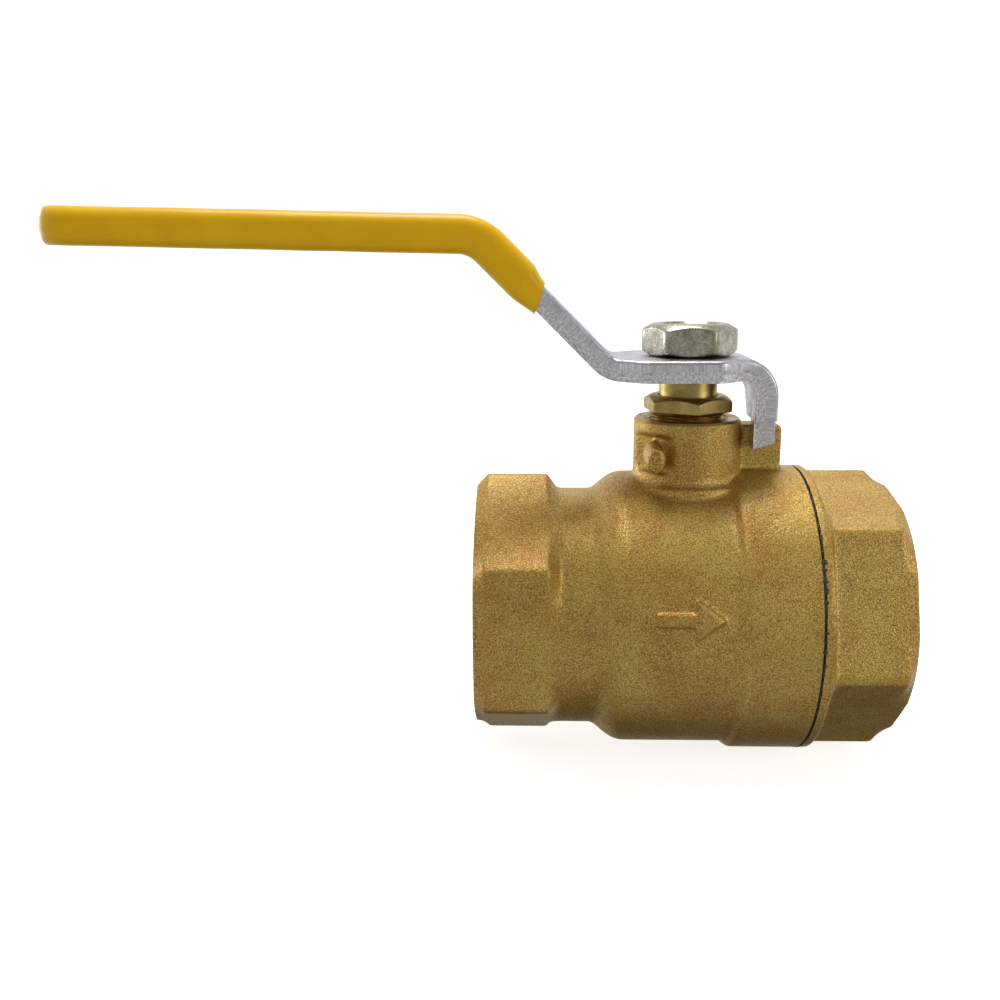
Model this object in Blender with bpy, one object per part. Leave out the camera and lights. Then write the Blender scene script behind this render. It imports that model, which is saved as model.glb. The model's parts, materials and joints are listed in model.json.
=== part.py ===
"""Two-piece threaded brass ball valve, 1 1/2 inch (DN 40), with a bent lever handle.

The pipe axis is X and the stem axis is Z. The origin is the centre of the ball, where the two cross.
The valve is open: the ball's bore lies along X and the lever points to -X. It closes clockwise, seen
from above, through a quarter turn. Sizes below are millimetres, and each mesh is written in metres.
"""

import math

import bmesh
import bpy
from mathutils import Matrix, Vector

MM = 0.001
CLEARANCE = 0.3  # between pieces that touch or slide on the real valve
ROUND_SEGMENTS = 48  # facets around the big turned shapes
SMALL_SEGMENTS = 32  # facets around the stem and what fits on it
JOIN_DISTANCE = 1e-7  # metres, only welds points that lie on a turning axis
PAST = 1.0  # how far a cutter runs past the face that it cuts through
ROOTED = 2.0  # how deep a joined shape starts inside the other

# Ball and seats
FLOW_RADIUS = 18.0
BALL_LAND = 7.5  # how far the ball's radius is past its bore's
BALL_FACETS_FROM_POLE = 14
SEAT_WIDTH = 5.3
SEAT_BACK = 2.6
SEAT_INSET = 0.2
SEAT_RIM = 0.9
SEAT_CONTACT_SHARE = 0.37  # where the ball touches, as a share of the seat's width
SLOT_FLOOR_WALL = 2.5
SLOT_WIDTH = 6.4

# Body and end cap
PORT_RADIUS = 22.4  # inside the crests of the female pipe thread
PORT_WALL = 4.6
POCKET_WALL = 3.2
PORT_MOUTH = 1.6
PORT_DEPTH_BODY = 21.5
PORT_DEPTH_CAP = 20.4
PORT_LIP_BODY = 4.3
PORT_LIP_CAP = 3.6
CAP_WALL_EXTRA = 0.45
HEX_LENGTH = 18.5
HEX_CORNER_ROUND = 2.2
HEX_FACE_LAND = 0.7  # face radius past the flats
HEX_CHAMFER_BODY = 2.4
HEX_CHAMFER_CAP = 3.8
HEX_RUN_OUT = 2.6
CAP_TURN = 17.6  # degrees that the screwed-in cap's hexagon stands past the body's
CAVITY_GAP = 1.0
DRUM_WALL = 4.5
CONE_LENGTH = 6.6
CONE_KNEE_X = 0.35  # where the cone steepens, as a share of its length
CONE_KNEE_RISE = 0.45  # and of its rise
COLLAR_WALL = 4.0
COLLAR_THREAD_STEP = 1.8
COLLAR_LEAD = 2.5
JOINT_THREAD_LENGTH = 12.65
JOINT_GROOVE = 1.1
FLANGE_THICKNESS = 2.8
FLANGE_ROUND = 1.0
BEAD_WIDTH = 1.2
BEAD_DEPTH = 0.8
SPIGOT_CHAMFER = 0.6

# Stem, its seals and the gland
STEM_RADIUS = 6.35
STEM_THREAD_RADIUS = 5.75
STEM_FLATS = 4.4  # from the axis to each flat under the lever
STEM_SHOULDER_WIDTH = 2.05
STEM_SHOULDER_HEIGHT = 2.9
STEM_CHAMFER = 0.6
STEM_EDGE_BREAK = 0.3
TANG_HALF_LENGTH = 5.6
WASHER_HEIGHT = 1.2
BORE_WALL = 3.2
PACKING_WIDTH = 1.6
PACKING_HEIGHT = 2.7
GLAND_ENGAGEMENT = 3.6
GLAND_RELIEF = 1.8
GLAND_HEX_HEIGHT = 3.2
GLAND_HEX_FLATS = 8.85  # from the axis to each flat
GLAND_CHAMFER = 0.7
GLAND_HEX_TURN = 6.0
NECK_WALL = 3.2
NECK_FLARE = 2.8
NECK_FLARE_SINK = 0.6  # how far below the drum's top the flare starts
NECK_RIM_CHAMFER = 0.6
STEM_SHOW = 3.9

# Stops
LUG_WIDTH = 7.0
LUG_DROP = 1.6
LUG_OVERHANG = 2.1
LUG_CORNER = 1.2
FINGER_FRONT = 6.3
FINGER_WIDTH = 4.2
FINGER_LENGTH = 5.7
TAB_HALF_WIDTH = 8.1
TAB_BACK_TAPER = 5.1
TAB_STANDOFF = 2.0
BOSS_WIDTH = 3.2
BOSS_HEIGHT = 4.8
BOSS_REACH = 2.55
BOSS_DROP = 1.3
BOSS_STEPS = 16
BOSS_EDGE = 0.4
BOSS_ROOT_SCALE = 1.12
BOSS_EDGE_SCALE = 0.8
POCKET_DEPTH = 0.8
POCKET_AZIMUTH = -140.0
POCKET_HEIGHT = 8.0
POCKET_LIFT = 1.6  # above the drum's top
POCKET_REACH = 4.0

# Lever, grip and nut
PLATE = 4.7
HUB_HALF_WIDTH = 14.0
HUB_FLAT_HALF_LENGTH = 9.5
HUB_TAPER = 9.5
ARM_HALF_WIDTH = 9.2
LOWER_BEND_X = 18.0
LEVER_RISE = 28.35
LEVER_REACH = 139.0
GRIP_SLOPE = 1.5  # degrees
RISER_ANGLE = 45.0
BEND_RADIUS_LOWER = 6.0
BEND_RADIUS_UPPER = 10.0
BEND_RADIUS_TAB = 6.0
TIP_ROUND = 7.0
TIP_STEPS = 6
BEND_STEPS = 6
STATION_STEP = 2.0  # between sections where the hub's width changes
STEP_RAMP = 0.3  # length over which the tab narrows to the stop finger
SLEEVE_WALL = 1.45
SLEEVE_CORNER = 2.6
SLEEVE_CORNER_STEPS = 4
SLEEVE_NOSE_SHARES = (0.0, 0.4, 0.8)  # of the way from the nose to the plate's tip
SLEEVE_FLATTEST = 0.98  # a corner's radius as a share of the half height
SLEEVE_START = 20.9  # along the lever, from the lower bend's corner
NUT_HEIGHT = 6.7
NUT_FLATS = 9.25
NUT_TURN = -5.5
NUT_CHAMFER = 1.3
NUT_BORE_CHAMFER = 0.6
HEX_CUT_MARGIN = 0.2  # between a hexagon and the cone that chamfers it

# Places worked out from the sizes
BALL_RADIUS = FLOW_RADIUS + BALL_LAND
SEAT_SPHERE = BALL_RADIUS + CLEARANCE
SEAT_INNER = FLOW_RADIUS + SEAT_INSET
SEAT_OUTER = SEAT_INNER + SEAT_WIDTH
SEAT_BACK_X = math.sqrt(SEAT_SPHERE**2 - SEAT_INNER**2) + SEAT_BACK
POCKET_RADIUS = SEAT_OUTER + CLEARANCE
POCKET_END_X = SEAT_BACK_X + CLEARANCE
CONTACT_RADIUS = SEAT_INNER + SEAT_CONTACT_SHARE * SEAT_WIDTH
CONTACT_ANGLE = math.asin(CONTACT_RADIUS / SEAT_SPHERE)
CAVITY_RADIUS = BALL_RADIUS + CAVITY_GAP
DRUM_RADIUS = CAVITY_RADIUS + DRUM_WALL
JOINT_RADIUS = CAVITY_RADIUS + COLLAR_THREAD_STEP
COLLAR_RADIUS = JOINT_RADIUS + COLLAR_WALL
SPIGOT_RADIUS = JOINT_RADIUS - CLEARANCE
BODY_FLATS = max(PORT_RADIUS + PORT_WALL, POCKET_RADIUS + POCKET_WALL)
CAP_FLATS = BODY_FLATS + CAP_WALL_EXTRA
BODY_FACE_X = -(POCKET_END_X + PORT_LIP_BODY + PORT_DEPTH_BODY)
CAP_FACE_X = POCKET_END_X + PORT_LIP_CAP + PORT_DEPTH_CAP

WASHER_SEAT_Z = BALL_RADIUS + STEM_SHOULDER_HEIGHT + WASHER_HEIGHT + 4 * CLEARANCE
PACKING_FLOOR_Z = WASHER_SEAT_Z + BORE_WALL
PACKING_RADIUS = STEM_RADIUS + CLEARANCE + PACKING_WIDTH
CHAMBER_RADIUS = PACKING_RADIUS + CLEARANCE
GLAND_BOTTOM_Z = PACKING_FLOOR_Z + 2 * PACKING_HEIGHT + 3 * CLEARANCE
NECK_RADIUS = CHAMBER_RADIUS + NECK_WALL
NECK_TOP_Z = GLAND_BOTTOM_Z + GLAND_ENGAGEMENT
GLAND_HEX_Z = NECK_TOP_Z + GLAND_RELIEF
GLAND_TOP_Z = GLAND_HEX_Z + GLAND_HEX_HEIGHT
PLATE_BOTTOM_Z = GLAND_TOP_Z + STEM_SHOW
PLATE_TOP_Z = PLATE_BOTTOM_Z + PLATE
NUT_BOTTOM_Z = PLATE_TOP_Z + CLEARANCE
NUT_TOP_Z = NUT_BOTTOM_Z + NUT_HEIGHT

LUG_TOP_Z = NECK_TOP_Z - LUG_DROP
TAB_INNER_X = NECK_RADIUS + TAB_STANDOFF
TAB_BOTTOM_Z = LUG_TOP_Z + LUG_DROP
FINGER_BOTTOM_Z = TAB_BOTTOM_Z - FINGER_LENGTH
LUG_FRONT_Y = -(FINGER_FRONT - FINGER_WIDTH - CLEARANCE)
BOSS_X = -(FINGER_FRONT + CLEARANCE + BOSS_WIDTH / 2)
BOSS_Z = FINGER_BOTTOM_Z - BOSS_DROP


# ---------------------------------------------------------------- scene and materials


def clear_scene():
    for obj in list(bpy.data.objects):
        bpy.data.objects.remove(obj, do_unlink=True)


def finish_material(name, colour, roughness, metallic):
    material = bpy.data.materials.new(name)
    material.use_nodes = True
    shader = material.node_tree.nodes["Principled BSDF"]
    shader.inputs["Base Color"].default_value = (*colour, 1.0)
    shader.inputs["Roughness"].default_value = roughness
    shader.inputs["Metallic"].default_value = metallic
    return material


def add_object(name, bm, material=None, smooth_angle=35.0):
    """Puts a finished bmesh, in millimetres, into the scene as an object in metres."""
    bmesh.ops.remove_doubles(bm, verts=bm.verts, dist=JOIN_DISTANCE / MM)
    bmesh.ops.recalc_face_normals(bm, faces=bm.faces)
    bmesh.ops.scale(bm, vec=(MM, MM, MM), verts=bm.verts)
    mesh = bpy.data.meshes.new(name)
    bm.to_mesh(mesh)
    bm.free()
    mesh.shade_smooth()
    mesh.set_sharp_from_angle(angle=math.radians(smooth_angle))
    if material is not None:
        mesh.materials.append(material)
    obj = bpy.data.objects.new(name, mesh)
    bpy.context.scene.collection.objects.link(obj)
    return obj


def helper(obj):
    """A shape that only adds to or cuts another, so it isn't part of the valve itself."""
    obj.hide_render = True
    obj.display_type = "WIRE"
    return obj


def combine(target, other, operation):
    modifier = target.modifiers.new(f"{operation.lower()} {other.name}", "BOOLEAN")
    modifier.operation = operation
    modifier.solver = "EXACT"
    modifier.object = helper(other)


# ---------------------------------------------------------------- shared shapes


def turned_z(profile, segments=SMALL_SEGMENTS):
    """Spins a closed profile of (radius, height) points about Z."""
    bm = bmesh.new()
    points = [bm.verts.new((radius, 0.0, height)) for radius, height in profile]
    edges = [bm.edges.new((a, b)) for a, b in zip(points, points[1:] + points[:1])]
    on_axis = [e for e in edges if all(v.co.x < JOIN_DISTANCE for v in e.verts)]
    bmesh.ops.delete(bm, geom=on_axis, context="EDGES")
    bmesh.ops.spin(
        bm,
        geom=bm.verts[:] + bm.edges[:],
        cent=(0, 0, 0),
        axis=(0, 0, 1),
        angle=math.tau,
        steps=segments,
        use_merge=True,
    )
    bmesh.ops.remove_doubles(bm, verts=bm.verts, dist=1e-4)
    return bm


def loft(sections, closed=False):
    """Bridges sections, each a ring of as many points, and caps the ends unless it closes on itself."""
    bm = bmesh.new()
    rings = [[bm.verts.new(point) for point in section] for section in sections]
    pairs = list(zip(rings, rings[1:]))
    if closed:
        pairs.append((rings[-1], rings[0]))
    for ring, following in pairs:
        count = len(ring)
        for i in range(count):
            j = (i + 1) % count
            bm.faces.new((ring[i], ring[j], following[j], following[i]))
    if not closed:
        bm.faces.new(rings[0])
        bm.faces.new(rings[-1][::-1])
    return bm


def hex_radius(angle, flats, corner_round):
    """Distance from the axis to a rounded hexagon, at an angle from one of its corners."""
    off = (angle + 30.0) % 60.0 - 30.0
    off = math.radians(abs(off))
    centre = (flats - corner_round) / math.cos(math.radians(30))
    tangent = math.atan2(corner_round / 2, centre + corner_round * math.cos(math.radians(30)))
    if off < tangent:
        return centre * math.cos(off) + math.sqrt(corner_round**2 - (centre * math.sin(off)) ** 2)
    return flats / math.cos(math.radians(30) - off)


def ring_about_x(x, radius, flats=None, turn=0.0):
    """A ring in the plane at x: round, or the part of a round bar that a hexagon leaves."""
    ring = []
    for step in range(ROUND_SEGMENTS):
        angle = step * 360.0 / ROUND_SEGMENTS
        reach = radius
        if flats is not None:
            reach = min(radius, hex_radius(angle - 90.0, flats, HEX_CORNER_ROUND))
        spin = math.radians(angle + turn)
        ring.append((x, -reach * math.cos(spin), reach * math.sin(spin)))
    return ring


def hex_prism_z(flats, bottom, top, turn):
    """A hexagonal prism along Z, with a corner at the angle turn, seen from above."""
    corner = flats / math.cos(math.radians(30))
    angles = [math.radians(turn + 60 * i) for i in range(6)]
    outline = [(corner * math.cos(a), corner * math.sin(a)) for a in angles]
    return loft([[(x, y, z) for x, y in outline] for z in (bottom, top)])


# ---------------------------------------------------------------- body


def body_outside():
    """The forging from the hexagon, through the necked-down part and the drum, to the collar."""
    hex_top = BODY_FLATS / math.cos(math.radians(30))
    hex_end = BODY_FACE_X + HEX_LENGTH
    cone_start = -POCKET_END_X
    collar_start = body_shoulder_x() - COLLAR_LEAD
    collar_end = joint_face_x()
    profile = [
        (BODY_FACE_X, BODY_FLATS + HEX_FACE_LAND, BODY_FLATS),
        (BODY_FACE_X + HEX_CHAMFER_BODY, hex_top, BODY_FLATS),
        (hex_end - HEX_RUN_OUT, hex_top, BODY_FLATS),
        (hex_end, BODY_FLATS, None),
        (cone_start, BODY_FLATS, None),
        (cone_start + CONE_LENGTH * CONE_KNEE_X, BODY_FLATS + (DRUM_RADIUS - BODY_FLATS) * CONE_KNEE_RISE, None),
        (cone_start + CONE_LENGTH, DRUM_RADIUS, None),
        (collar_start - (COLLAR_RADIUS - DRUM_RADIUS), DRUM_RADIUS, None),
        (collar_start, COLLAR_RADIUS, None),
        (collar_end - JOINT_GROOVE, COLLAR_RADIUS, None),
        (collar_end, COLLAR_RADIUS - JOINT_GROOVE, None),
    ]
    return loft([ring_about_x(x, radius, flats) for x, radius, flats in profile])


def body_inside():
    """What is bored out along the pipe axis: port, seat pocket, ball chamber and the joint's thread."""
    seat_mouth = -seat_front_x()
    port_end = BODY_FACE_X + PORT_DEPTH_BODY
    profile = [
        (BODY_FACE_X - PAST, PORT_RADIUS + PORT_MOUTH + PAST),
        (BODY_FACE_X + PORT_MOUTH, PORT_RADIUS),
        (port_end, PORT_RADIUS),
        (port_end, SEAT_INNER),
        (-POCKET_END_X, SEAT_INNER),
        (-POCKET_END_X, POCKET_RADIUS),
        (seat_mouth, POCKET_RADIUS),
        (seat_mouth + (CAVITY_RADIUS - POCKET_RADIUS), CAVITY_RADIUS),
        (body_shoulder_x(), CAVITY_RADIUS),
        (body_shoulder_x(), JOINT_RADIUS),
        (joint_face_x() + PAST, JOINT_RADIUS),
    ]
    return loft([ring_about_x(x, radius) for x, radius in profile])


def seat_front_x():
    """Where a seat's rim starts, on the ball's side."""
    slope = math.tan(math.pi / 2 - CONTACT_ANGLE)
    contact_x = SEAT_SPHERE * math.cos(CONTACT_ANGLE)
    rim_radius = SEAT_OUTER - SEAT_RIM
    return contact_x - (rim_radius - CONTACT_RADIUS) / slope


def body_shoulder_x():
    """The step in the body that the end cap's spigot stops short of."""
    return seat_front_x() - SEAT_RIM


def joint_face_x():
    return body_shoulder_x() + JOINT_THREAD_LENGTH


def neck_solid():
    """The stem housing, flared where it runs into the drum."""
    root_z = CAVITY_RADIUS + ROOTED / 4
    flare_z = DRUM_RADIUS - NECK_FLARE_SINK
    flare = [
        (NECK_RADIUS + NECK_FLARE * (1 - math.cos(a)), flare_z + NECK_FLARE * (1 - math.sin(a)))
        for a in (math.radians(d) for d in (90, 60, 30, 0))
    ]
    profile = [
        (0.0, NECK_TOP_Z),
        (NECK_RADIUS - NECK_RIM_CHAMFER, NECK_TOP_Z),
        (NECK_RADIUS, NECK_TOP_Z - NECK_RIM_CHAMFER),
        (NECK_RADIUS, flare[-1][1]),
        *reversed(flare[:-1]),
        (flare[0][0], root_z),
        (0.0, root_z),
    ]
    return turned_z(profile)


def lug_solid():
    """The open stop: a square lug on the collar, beside the neck."""
    inner, outer = NECK_RADIUS - ROOTED, TAB_INNER_X + PLATE + LUG_OVERHANG
    bottom = COLLAR_RADIUS - COLLAR_WALL / 2
    outline = [
        (inner, bottom),
        (outer, bottom),
        (outer, LUG_TOP_Z - LUG_CORNER),
        (outer - LUG_CORNER, LUG_TOP_Z),
        (inner, LUG_TOP_Z),
    ]
    return loft([[(x, y, z) for x, z in outline] for y in (LUG_FRONT_Y, LUG_FRONT_Y + LUG_WIDTH)])


def boss_solid():
    """The closed stop: an oval pin that stands out of the neck towards the lever's tab."""
    start_y, end_y = -(CHAMBER_RADIUS - ROOTED), -(TAB_INNER_X + BOSS_REACH)
    sections = []
    for y, scale in ((start_y, BOSS_ROOT_SCALE), (end_y + BOSS_EDGE, 1.0), (end_y, BOSS_EDGE_SCALE)):
        ring = []
        for step in range(BOSS_STEPS):
            a = math.tau * step / BOSS_STEPS
            x = BOSS_X + scale * BOSS_WIDTH / 2 * math.cos(a)
            ring.append((min(x, BOSS_X + BOSS_WIDTH / 2), y, BOSS_Z + scale * BOSS_HEIGHT / 2 * math.sin(a)))
        sections.append(ring)
    return loft(sections)


def pocket_solid():
    """A shallow flat pocket in the neck, round the foot of the stop pin."""
    half_width = NECK_RADIUS
    near, far = NECK_RADIUS - POCKET_DEPTH, NECK_RADIUS + POCKET_REACH
    bottom = DRUM_RADIUS + POCKET_LIFT
    turn = Matrix.Rotation(math.radians(POCKET_AZIMUTH), 3, "Z")
    corners = ((near, -half_width), (far, -half_width), (far, half_width), (near, half_width))
    return loft([[turn @ Vector((x, y, z)) for x, y in corners] for z in (bottom, bottom + POCKET_HEIGHT)])


def stem_bore():
    """Everything bored along Z: room for the stem's shoulder, its bearing and the packing chamber."""
    shoulder = STEM_RADIUS + STEM_SHOULDER_WIDTH + CLEARANCE
    bearing = STEM_RADIUS + CLEARANCE
    profile = [
        (0.0, NECK_TOP_Z + PAST),
        (CHAMBER_RADIUS, NECK_TOP_Z + PAST),
        (CHAMBER_RADIUS, PACKING_FLOOR_Z),
        (bearing, PACKING_FLOOR_Z),
        (bearing, WASHER_SEAT_Z),
        (shoulder, WASHER_SEAT_Z),
        (shoulder, CAVITY_RADIUS / 2),
        (0.0, CAVITY_RADIUS / 2),
    ]
    return turned_z(profile)


def make_body(brass):
    body = add_object("body", body_outside(), brass)
    neck = add_object("neck_shape", neck_solid())
    pocket = add_object("pocket_shape", pocket_solid())
    combine(neck, pocket, "DIFFERENCE")
    combine(body, neck, "UNION")
    combine(body, add_object("lug_shape", lug_solid()), "UNION")
    combine(body, add_object("boss_shape", boss_solid()), "UNION")
    combine(body, add_object("body_inside_shape", body_inside()), "DIFFERENCE")
    combine(body, add_object("stem_bore_shape", stem_bore()), "DIFFERENCE")


# ---------------------------------------------------------------- end cap and its sealant


def cap_shell():
    """The screwed-in end: spigot, flange and hexagon outside, seat pocket and port inside."""
    hex_top = CAP_FLATS / math.cos(math.radians(30))
    flange_start = joint_face_x() + CLEARANCE
    flange_end = flange_start + FLANGE_THICKNESS
    nose = body_shoulder_x() + CLEARANCE
    port_end = POCKET_END_X + PORT_LIP_CAP
    groove = JOINT_GROOVE - CLEARANCE
    outside = [
        (nose, SPIGOT_RADIUS - SPIGOT_CHAMFER, None),
        (nose + SPIGOT_CHAMFER, SPIGOT_RADIUS, None),
        (flange_start, SPIGOT_RADIUS, None),
        (flange_start, COLLAR_RADIUS - groove, None),
        (flange_start + groove, COLLAR_RADIUS, None),
        (flange_end - FLANGE_ROUND, COLLAR_RADIUS, None),
        (flange_end, hex_top, CAP_FLATS),
        (CAP_FACE_X - HEX_CHAMFER_CAP, hex_top, CAP_FLATS),
        (CAP_FACE_X, CAP_FLATS + HEX_FACE_LAND, CAP_FLATS),
    ]
    inside = [
        (CAP_FACE_X, PORT_RADIUS + PORT_MOUTH),
        (CAP_FACE_X - PORT_MOUTH, PORT_RADIUS),
        (port_end, PORT_RADIUS),
        (port_end, SEAT_INNER),
        (POCKET_END_X, SEAT_INNER),
        (POCKET_END_X, POCKET_RADIUS),
        (nose, POCKET_RADIUS),
    ]
    rings = [ring_about_x(x, radius, flats, CAP_TURN) for x, radius, flats in outside]
    rings += [ring_about_x(x, radius, turn=CAP_TURN) for x, radius in inside]
    return loft(rings, closed=True)


def sealant_ring():
    """The line of thread sealant that was squeezed into the groove between collar and cap."""
    middle = joint_face_x() + CLEARANCE / 2
    outer = COLLAR_RADIUS - CLEARANCE / 2
    points = [
        (middle - BEAD_WIDTH / 2, outer),
        (middle + BEAD_WIDTH / 2, outer),
        (middle + BEAD_WIDTH / 8, outer - BEAD_DEPTH / 2),
        (middle - BEAD_WIDTH / 8, outer - BEAD_DEPTH / 2),
    ]
    return loft([ring_about_x(x, radius) for x, radius in points], closed=True)


# ---------------------------------------------------------------- ball and seats


def seat_ring(side):
    """A PTFE seat, whose cone rests against the ball, on the body side (-1) or the cap side (+1)."""
    front = seat_front_x()
    slope = math.tan(math.pi / 2 - CONTACT_ANGLE)
    inner_front = SEAT_SPHERE * math.cos(CONTACT_ANGLE) + (CONTACT_RADIUS - SEAT_INNER) / slope
    points = [
        (inner_front, SEAT_INNER),
        (front, SEAT_OUTER - SEAT_RIM),
        (front, SEAT_OUTER),
        (SEAT_BACK_X, SEAT_OUTER),
        (SEAT_BACK_X, SEAT_INNER),
    ]
    return loft([ring_about_x(side * x, radius) for x, radius in points], closed=True)


def ball_shell():
    """A sphere of revolution about X with its flow bore."""
    start = math.acos(FLOW_RADIUS / BALL_RADIUS)
    rings = []
    for step in range(BALL_FACETS_FROM_POLE + 1):
        angle = start - 2 * start * step / BALL_FACETS_FROM_POLE
        rings.append(ring_about_x(-BALL_RADIUS * math.sin(angle), BALL_RADIUS * math.cos(angle)))
    return loft(rings, closed=True)


def ball_slot():
    """The slot across the top that the stem's tang turns the ball by."""
    half, floor = SLOT_WIDTH / 2, FLOW_RADIUS + SLOT_FLOOR_WALL
    corners = ((-half, floor), (half, floor), (half, BALL_RADIUS + PAST), (-half, BALL_RADIUS + PAST))
    return loft([[(x, y, z) for x, z in corners] for y in (-BALL_RADIUS, BALL_RADIUS)])


def make_ball(chrome):
    ball = add_object("ball", ball_shell(), chrome)
    combine(ball, add_object("ball_slot_shape", ball_slot()), "DIFFERENCE")


# ---------------------------------------------------------------- stem, seals, gland and nut


def stem_solid():
    shoulder = STEM_RADIUS + STEM_SHOULDER_WIDTH
    low = BALL_RADIUS + 2 * CLEARANCE
    high = low + STEM_SHOULDER_HEIGHT
    tang_bottom = FLOW_RADIUS + SLOT_FLOOR_WALL + CLEARANCE
    seat = PLATE_BOTTOM_Z - CLEARANCE
    top = NUT_TOP_Z - CLEARANCE
    profile = [
        (0.0, top),
        (STEM_THREAD_RADIUS - STEM_CHAMFER, top),
        (STEM_THREAD_RADIUS, top - STEM_CHAMFER),
        (STEM_THREAD_RADIUS, seat),
        (STEM_RADIUS - STEM_EDGE_BREAK, seat),
        (STEM_RADIUS, seat - STEM_EDGE_BREAK),
        (STEM_RADIUS, high),
        (shoulder, high),
        (shoulder, low),
        (STEM_RADIUS, low),
        (STEM_RADIUS, tang_bottom),
        (0.0, tang_bottom),
    ]
    return turned_z(profile)


def side_cutter(near, half_length, bottom, top, along_x):
    """Two blocks that leave a flat on each side of the stem."""
    far = near + 2 * STEM_RADIUS
    blocks = bmesh.new()
    for side in (-1, 1):
        corners = [(side * near, -half_length), (side * far, -half_length)]
        corners += [(side * far, half_length), (side * near, half_length)]
        if along_x:
            corners = [(v, u) for u, v in corners]
        rings = [[blocks.verts.new((x, y, z)) for x, y in corners] for z in (bottom, top)]
        for i in range(4):
            j = (i + 1) % 4
            blocks.faces.new((rings[0][i], rings[0][j], rings[1][j], rings[1][i]))
        blocks.faces.new(rings[0])
        blocks.faces.new(rings[1][::-1])
    return blocks


def make_stem(brass):
    stem = add_object("stem", stem_solid(), brass)
    tang_top = BALL_RADIUS + 2 * CLEARANCE
    reach = 3 * STEM_RADIUS
    tang_sides = side_cutter(SLOT_WIDTH / 2 - CLEARANCE, reach, 0.0, tang_top, along_x=False)
    tang_ends = side_cutter(TANG_HALF_LENGTH, reach, 0.0, tang_top, along_x=True)
    flats = side_cutter(STEM_FLATS, reach, PLATE_BOTTOM_Z - CLEARANCE, NUT_TOP_Z + PAST, along_x=True)
    combine(stem, add_object("tang_side_shape", tang_sides), "DIFFERENCE")
    combine(stem, add_object("tang_end_shape", tang_ends), "DIFFERENCE")
    combine(stem, add_object("stem_flat_shape", flats), "DIFFERENCE")


def tube_z(inner, outer, bottom, top):
    return turned_z([(inner, bottom), (inner, top), (outer, top), (outer, bottom)])


def make_seals(ptfe):
    inner = STEM_RADIUS + CLEARANCE
    washer_bottom = WASHER_SEAT_Z - CLEARANCE - WASHER_HEIGHT
    washer = tube_z(inner, STEM_RADIUS + STEM_SHOULDER_WIDTH, washer_bottom, washer_bottom + WASHER_HEIGHT)
    add_object("stem_thrust_washer", washer, ptfe)
    for place, name in enumerate(("packing_ring_lower", "packing_ring_upper")):
        bottom = PACKING_FLOOR_Z + CLEARANCE + place * (PACKING_HEIGHT + CLEARANCE)
        add_object(name, tube_z(inner, PACKING_RADIUS, bottom, bottom + PACKING_HEIGHT), ptfe)


def chamfered_hex(name, flats, bottom, top, turn, chamfer_bottom, chamfer_top, material):
    """A hexagon whose corners are turned off at a shallow cone, as on a nut."""
    nut = add_object(name, hex_prism_z(flats, bottom, top, turn), material)
    corner = flats / math.cos(math.radians(30))
    margin = HEX_CUT_MARGIN
    face = flats - margin
    profile = [(0.0, top + margin), (face - 2 * margin, top + margin)]
    profile += [(corner + margin, top - chamfer_top), (corner + margin, bottom + chamfer_bottom)]
    if chamfer_bottom:
        profile += [(face - 2 * margin, bottom - margin), (0.0, bottom - margin)]
    else:
        profile += [(corner + margin, bottom - margin), (0.0, bottom - margin)]
    combine(nut, add_object(f"{name}_chamfer_shape", turned_z(profile)), "INTERSECT")
    return nut


def make_gland(brass):
    """The nut that squeezes the packing: a thin hexagon over a threaded shank."""
    turn = -90 + GLAND_HEX_TURN
    gland = chamfered_hex("gland_nut", GLAND_HEX_FLATS, GLAND_HEX_Z, GLAND_TOP_Z, turn, 0.0, GLAND_CHAMFER, brass)
    shank = turned_z(
        [
            (0.0, GLAND_TOP_Z - GLAND_HEX_HEIGHT / 2),
            (PACKING_RADIUS, GLAND_TOP_Z - GLAND_HEX_HEIGHT / 2),
            (PACKING_RADIUS, GLAND_BOTTOM_Z),
            (0.0, GLAND_BOTTOM_Z),
        ]
    )
    bore_radius = STEM_RADIUS + CLEARANCE
    bore = turned_z(
        [
            (0.0, GLAND_TOP_Z + PAST),
            (bore_radius, GLAND_TOP_Z + PAST),
            (bore_radius, GLAND_BOTTOM_Z - PAST),
            (0.0, GLAND_BOTTOM_Z - PAST),
        ]
    )
    combine(gland, add_object("gland_shank_shape", shank), "UNION")
    combine(gland, add_object("gland_bore_shape", bore), "DIFFERENCE")


def make_handle_nut(zinc):
    nut = chamfered_hex(
        "handle_nut", NUT_FLATS, NUT_BOTTOM_Z, NUT_TOP_Z, NUT_TURN - 60, NUT_CHAMFER, NUT_CHAMFER, zinc
    )
    bore_radius = STEM_THREAD_RADIUS + CLEARANCE
    bore = turned_z(
        [
            (0.0, NUT_TOP_Z + PAST),
            (bore_radius + PAST + NUT_BORE_CHAMFER, NUT_TOP_Z + PAST),
            (bore_radius, NUT_TOP_Z - NUT_BORE_CHAMFER),
            (bore_radius, NUT_BOTTOM_Z - PAST),
            (0.0, NUT_BOTTOM_Z - PAST),
        ]
    )
    combine(nut, add_object("nut_bore_shape", bore), "DIFFERENCE")


# ---------------------------------------------------------------- lever and grip


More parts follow.
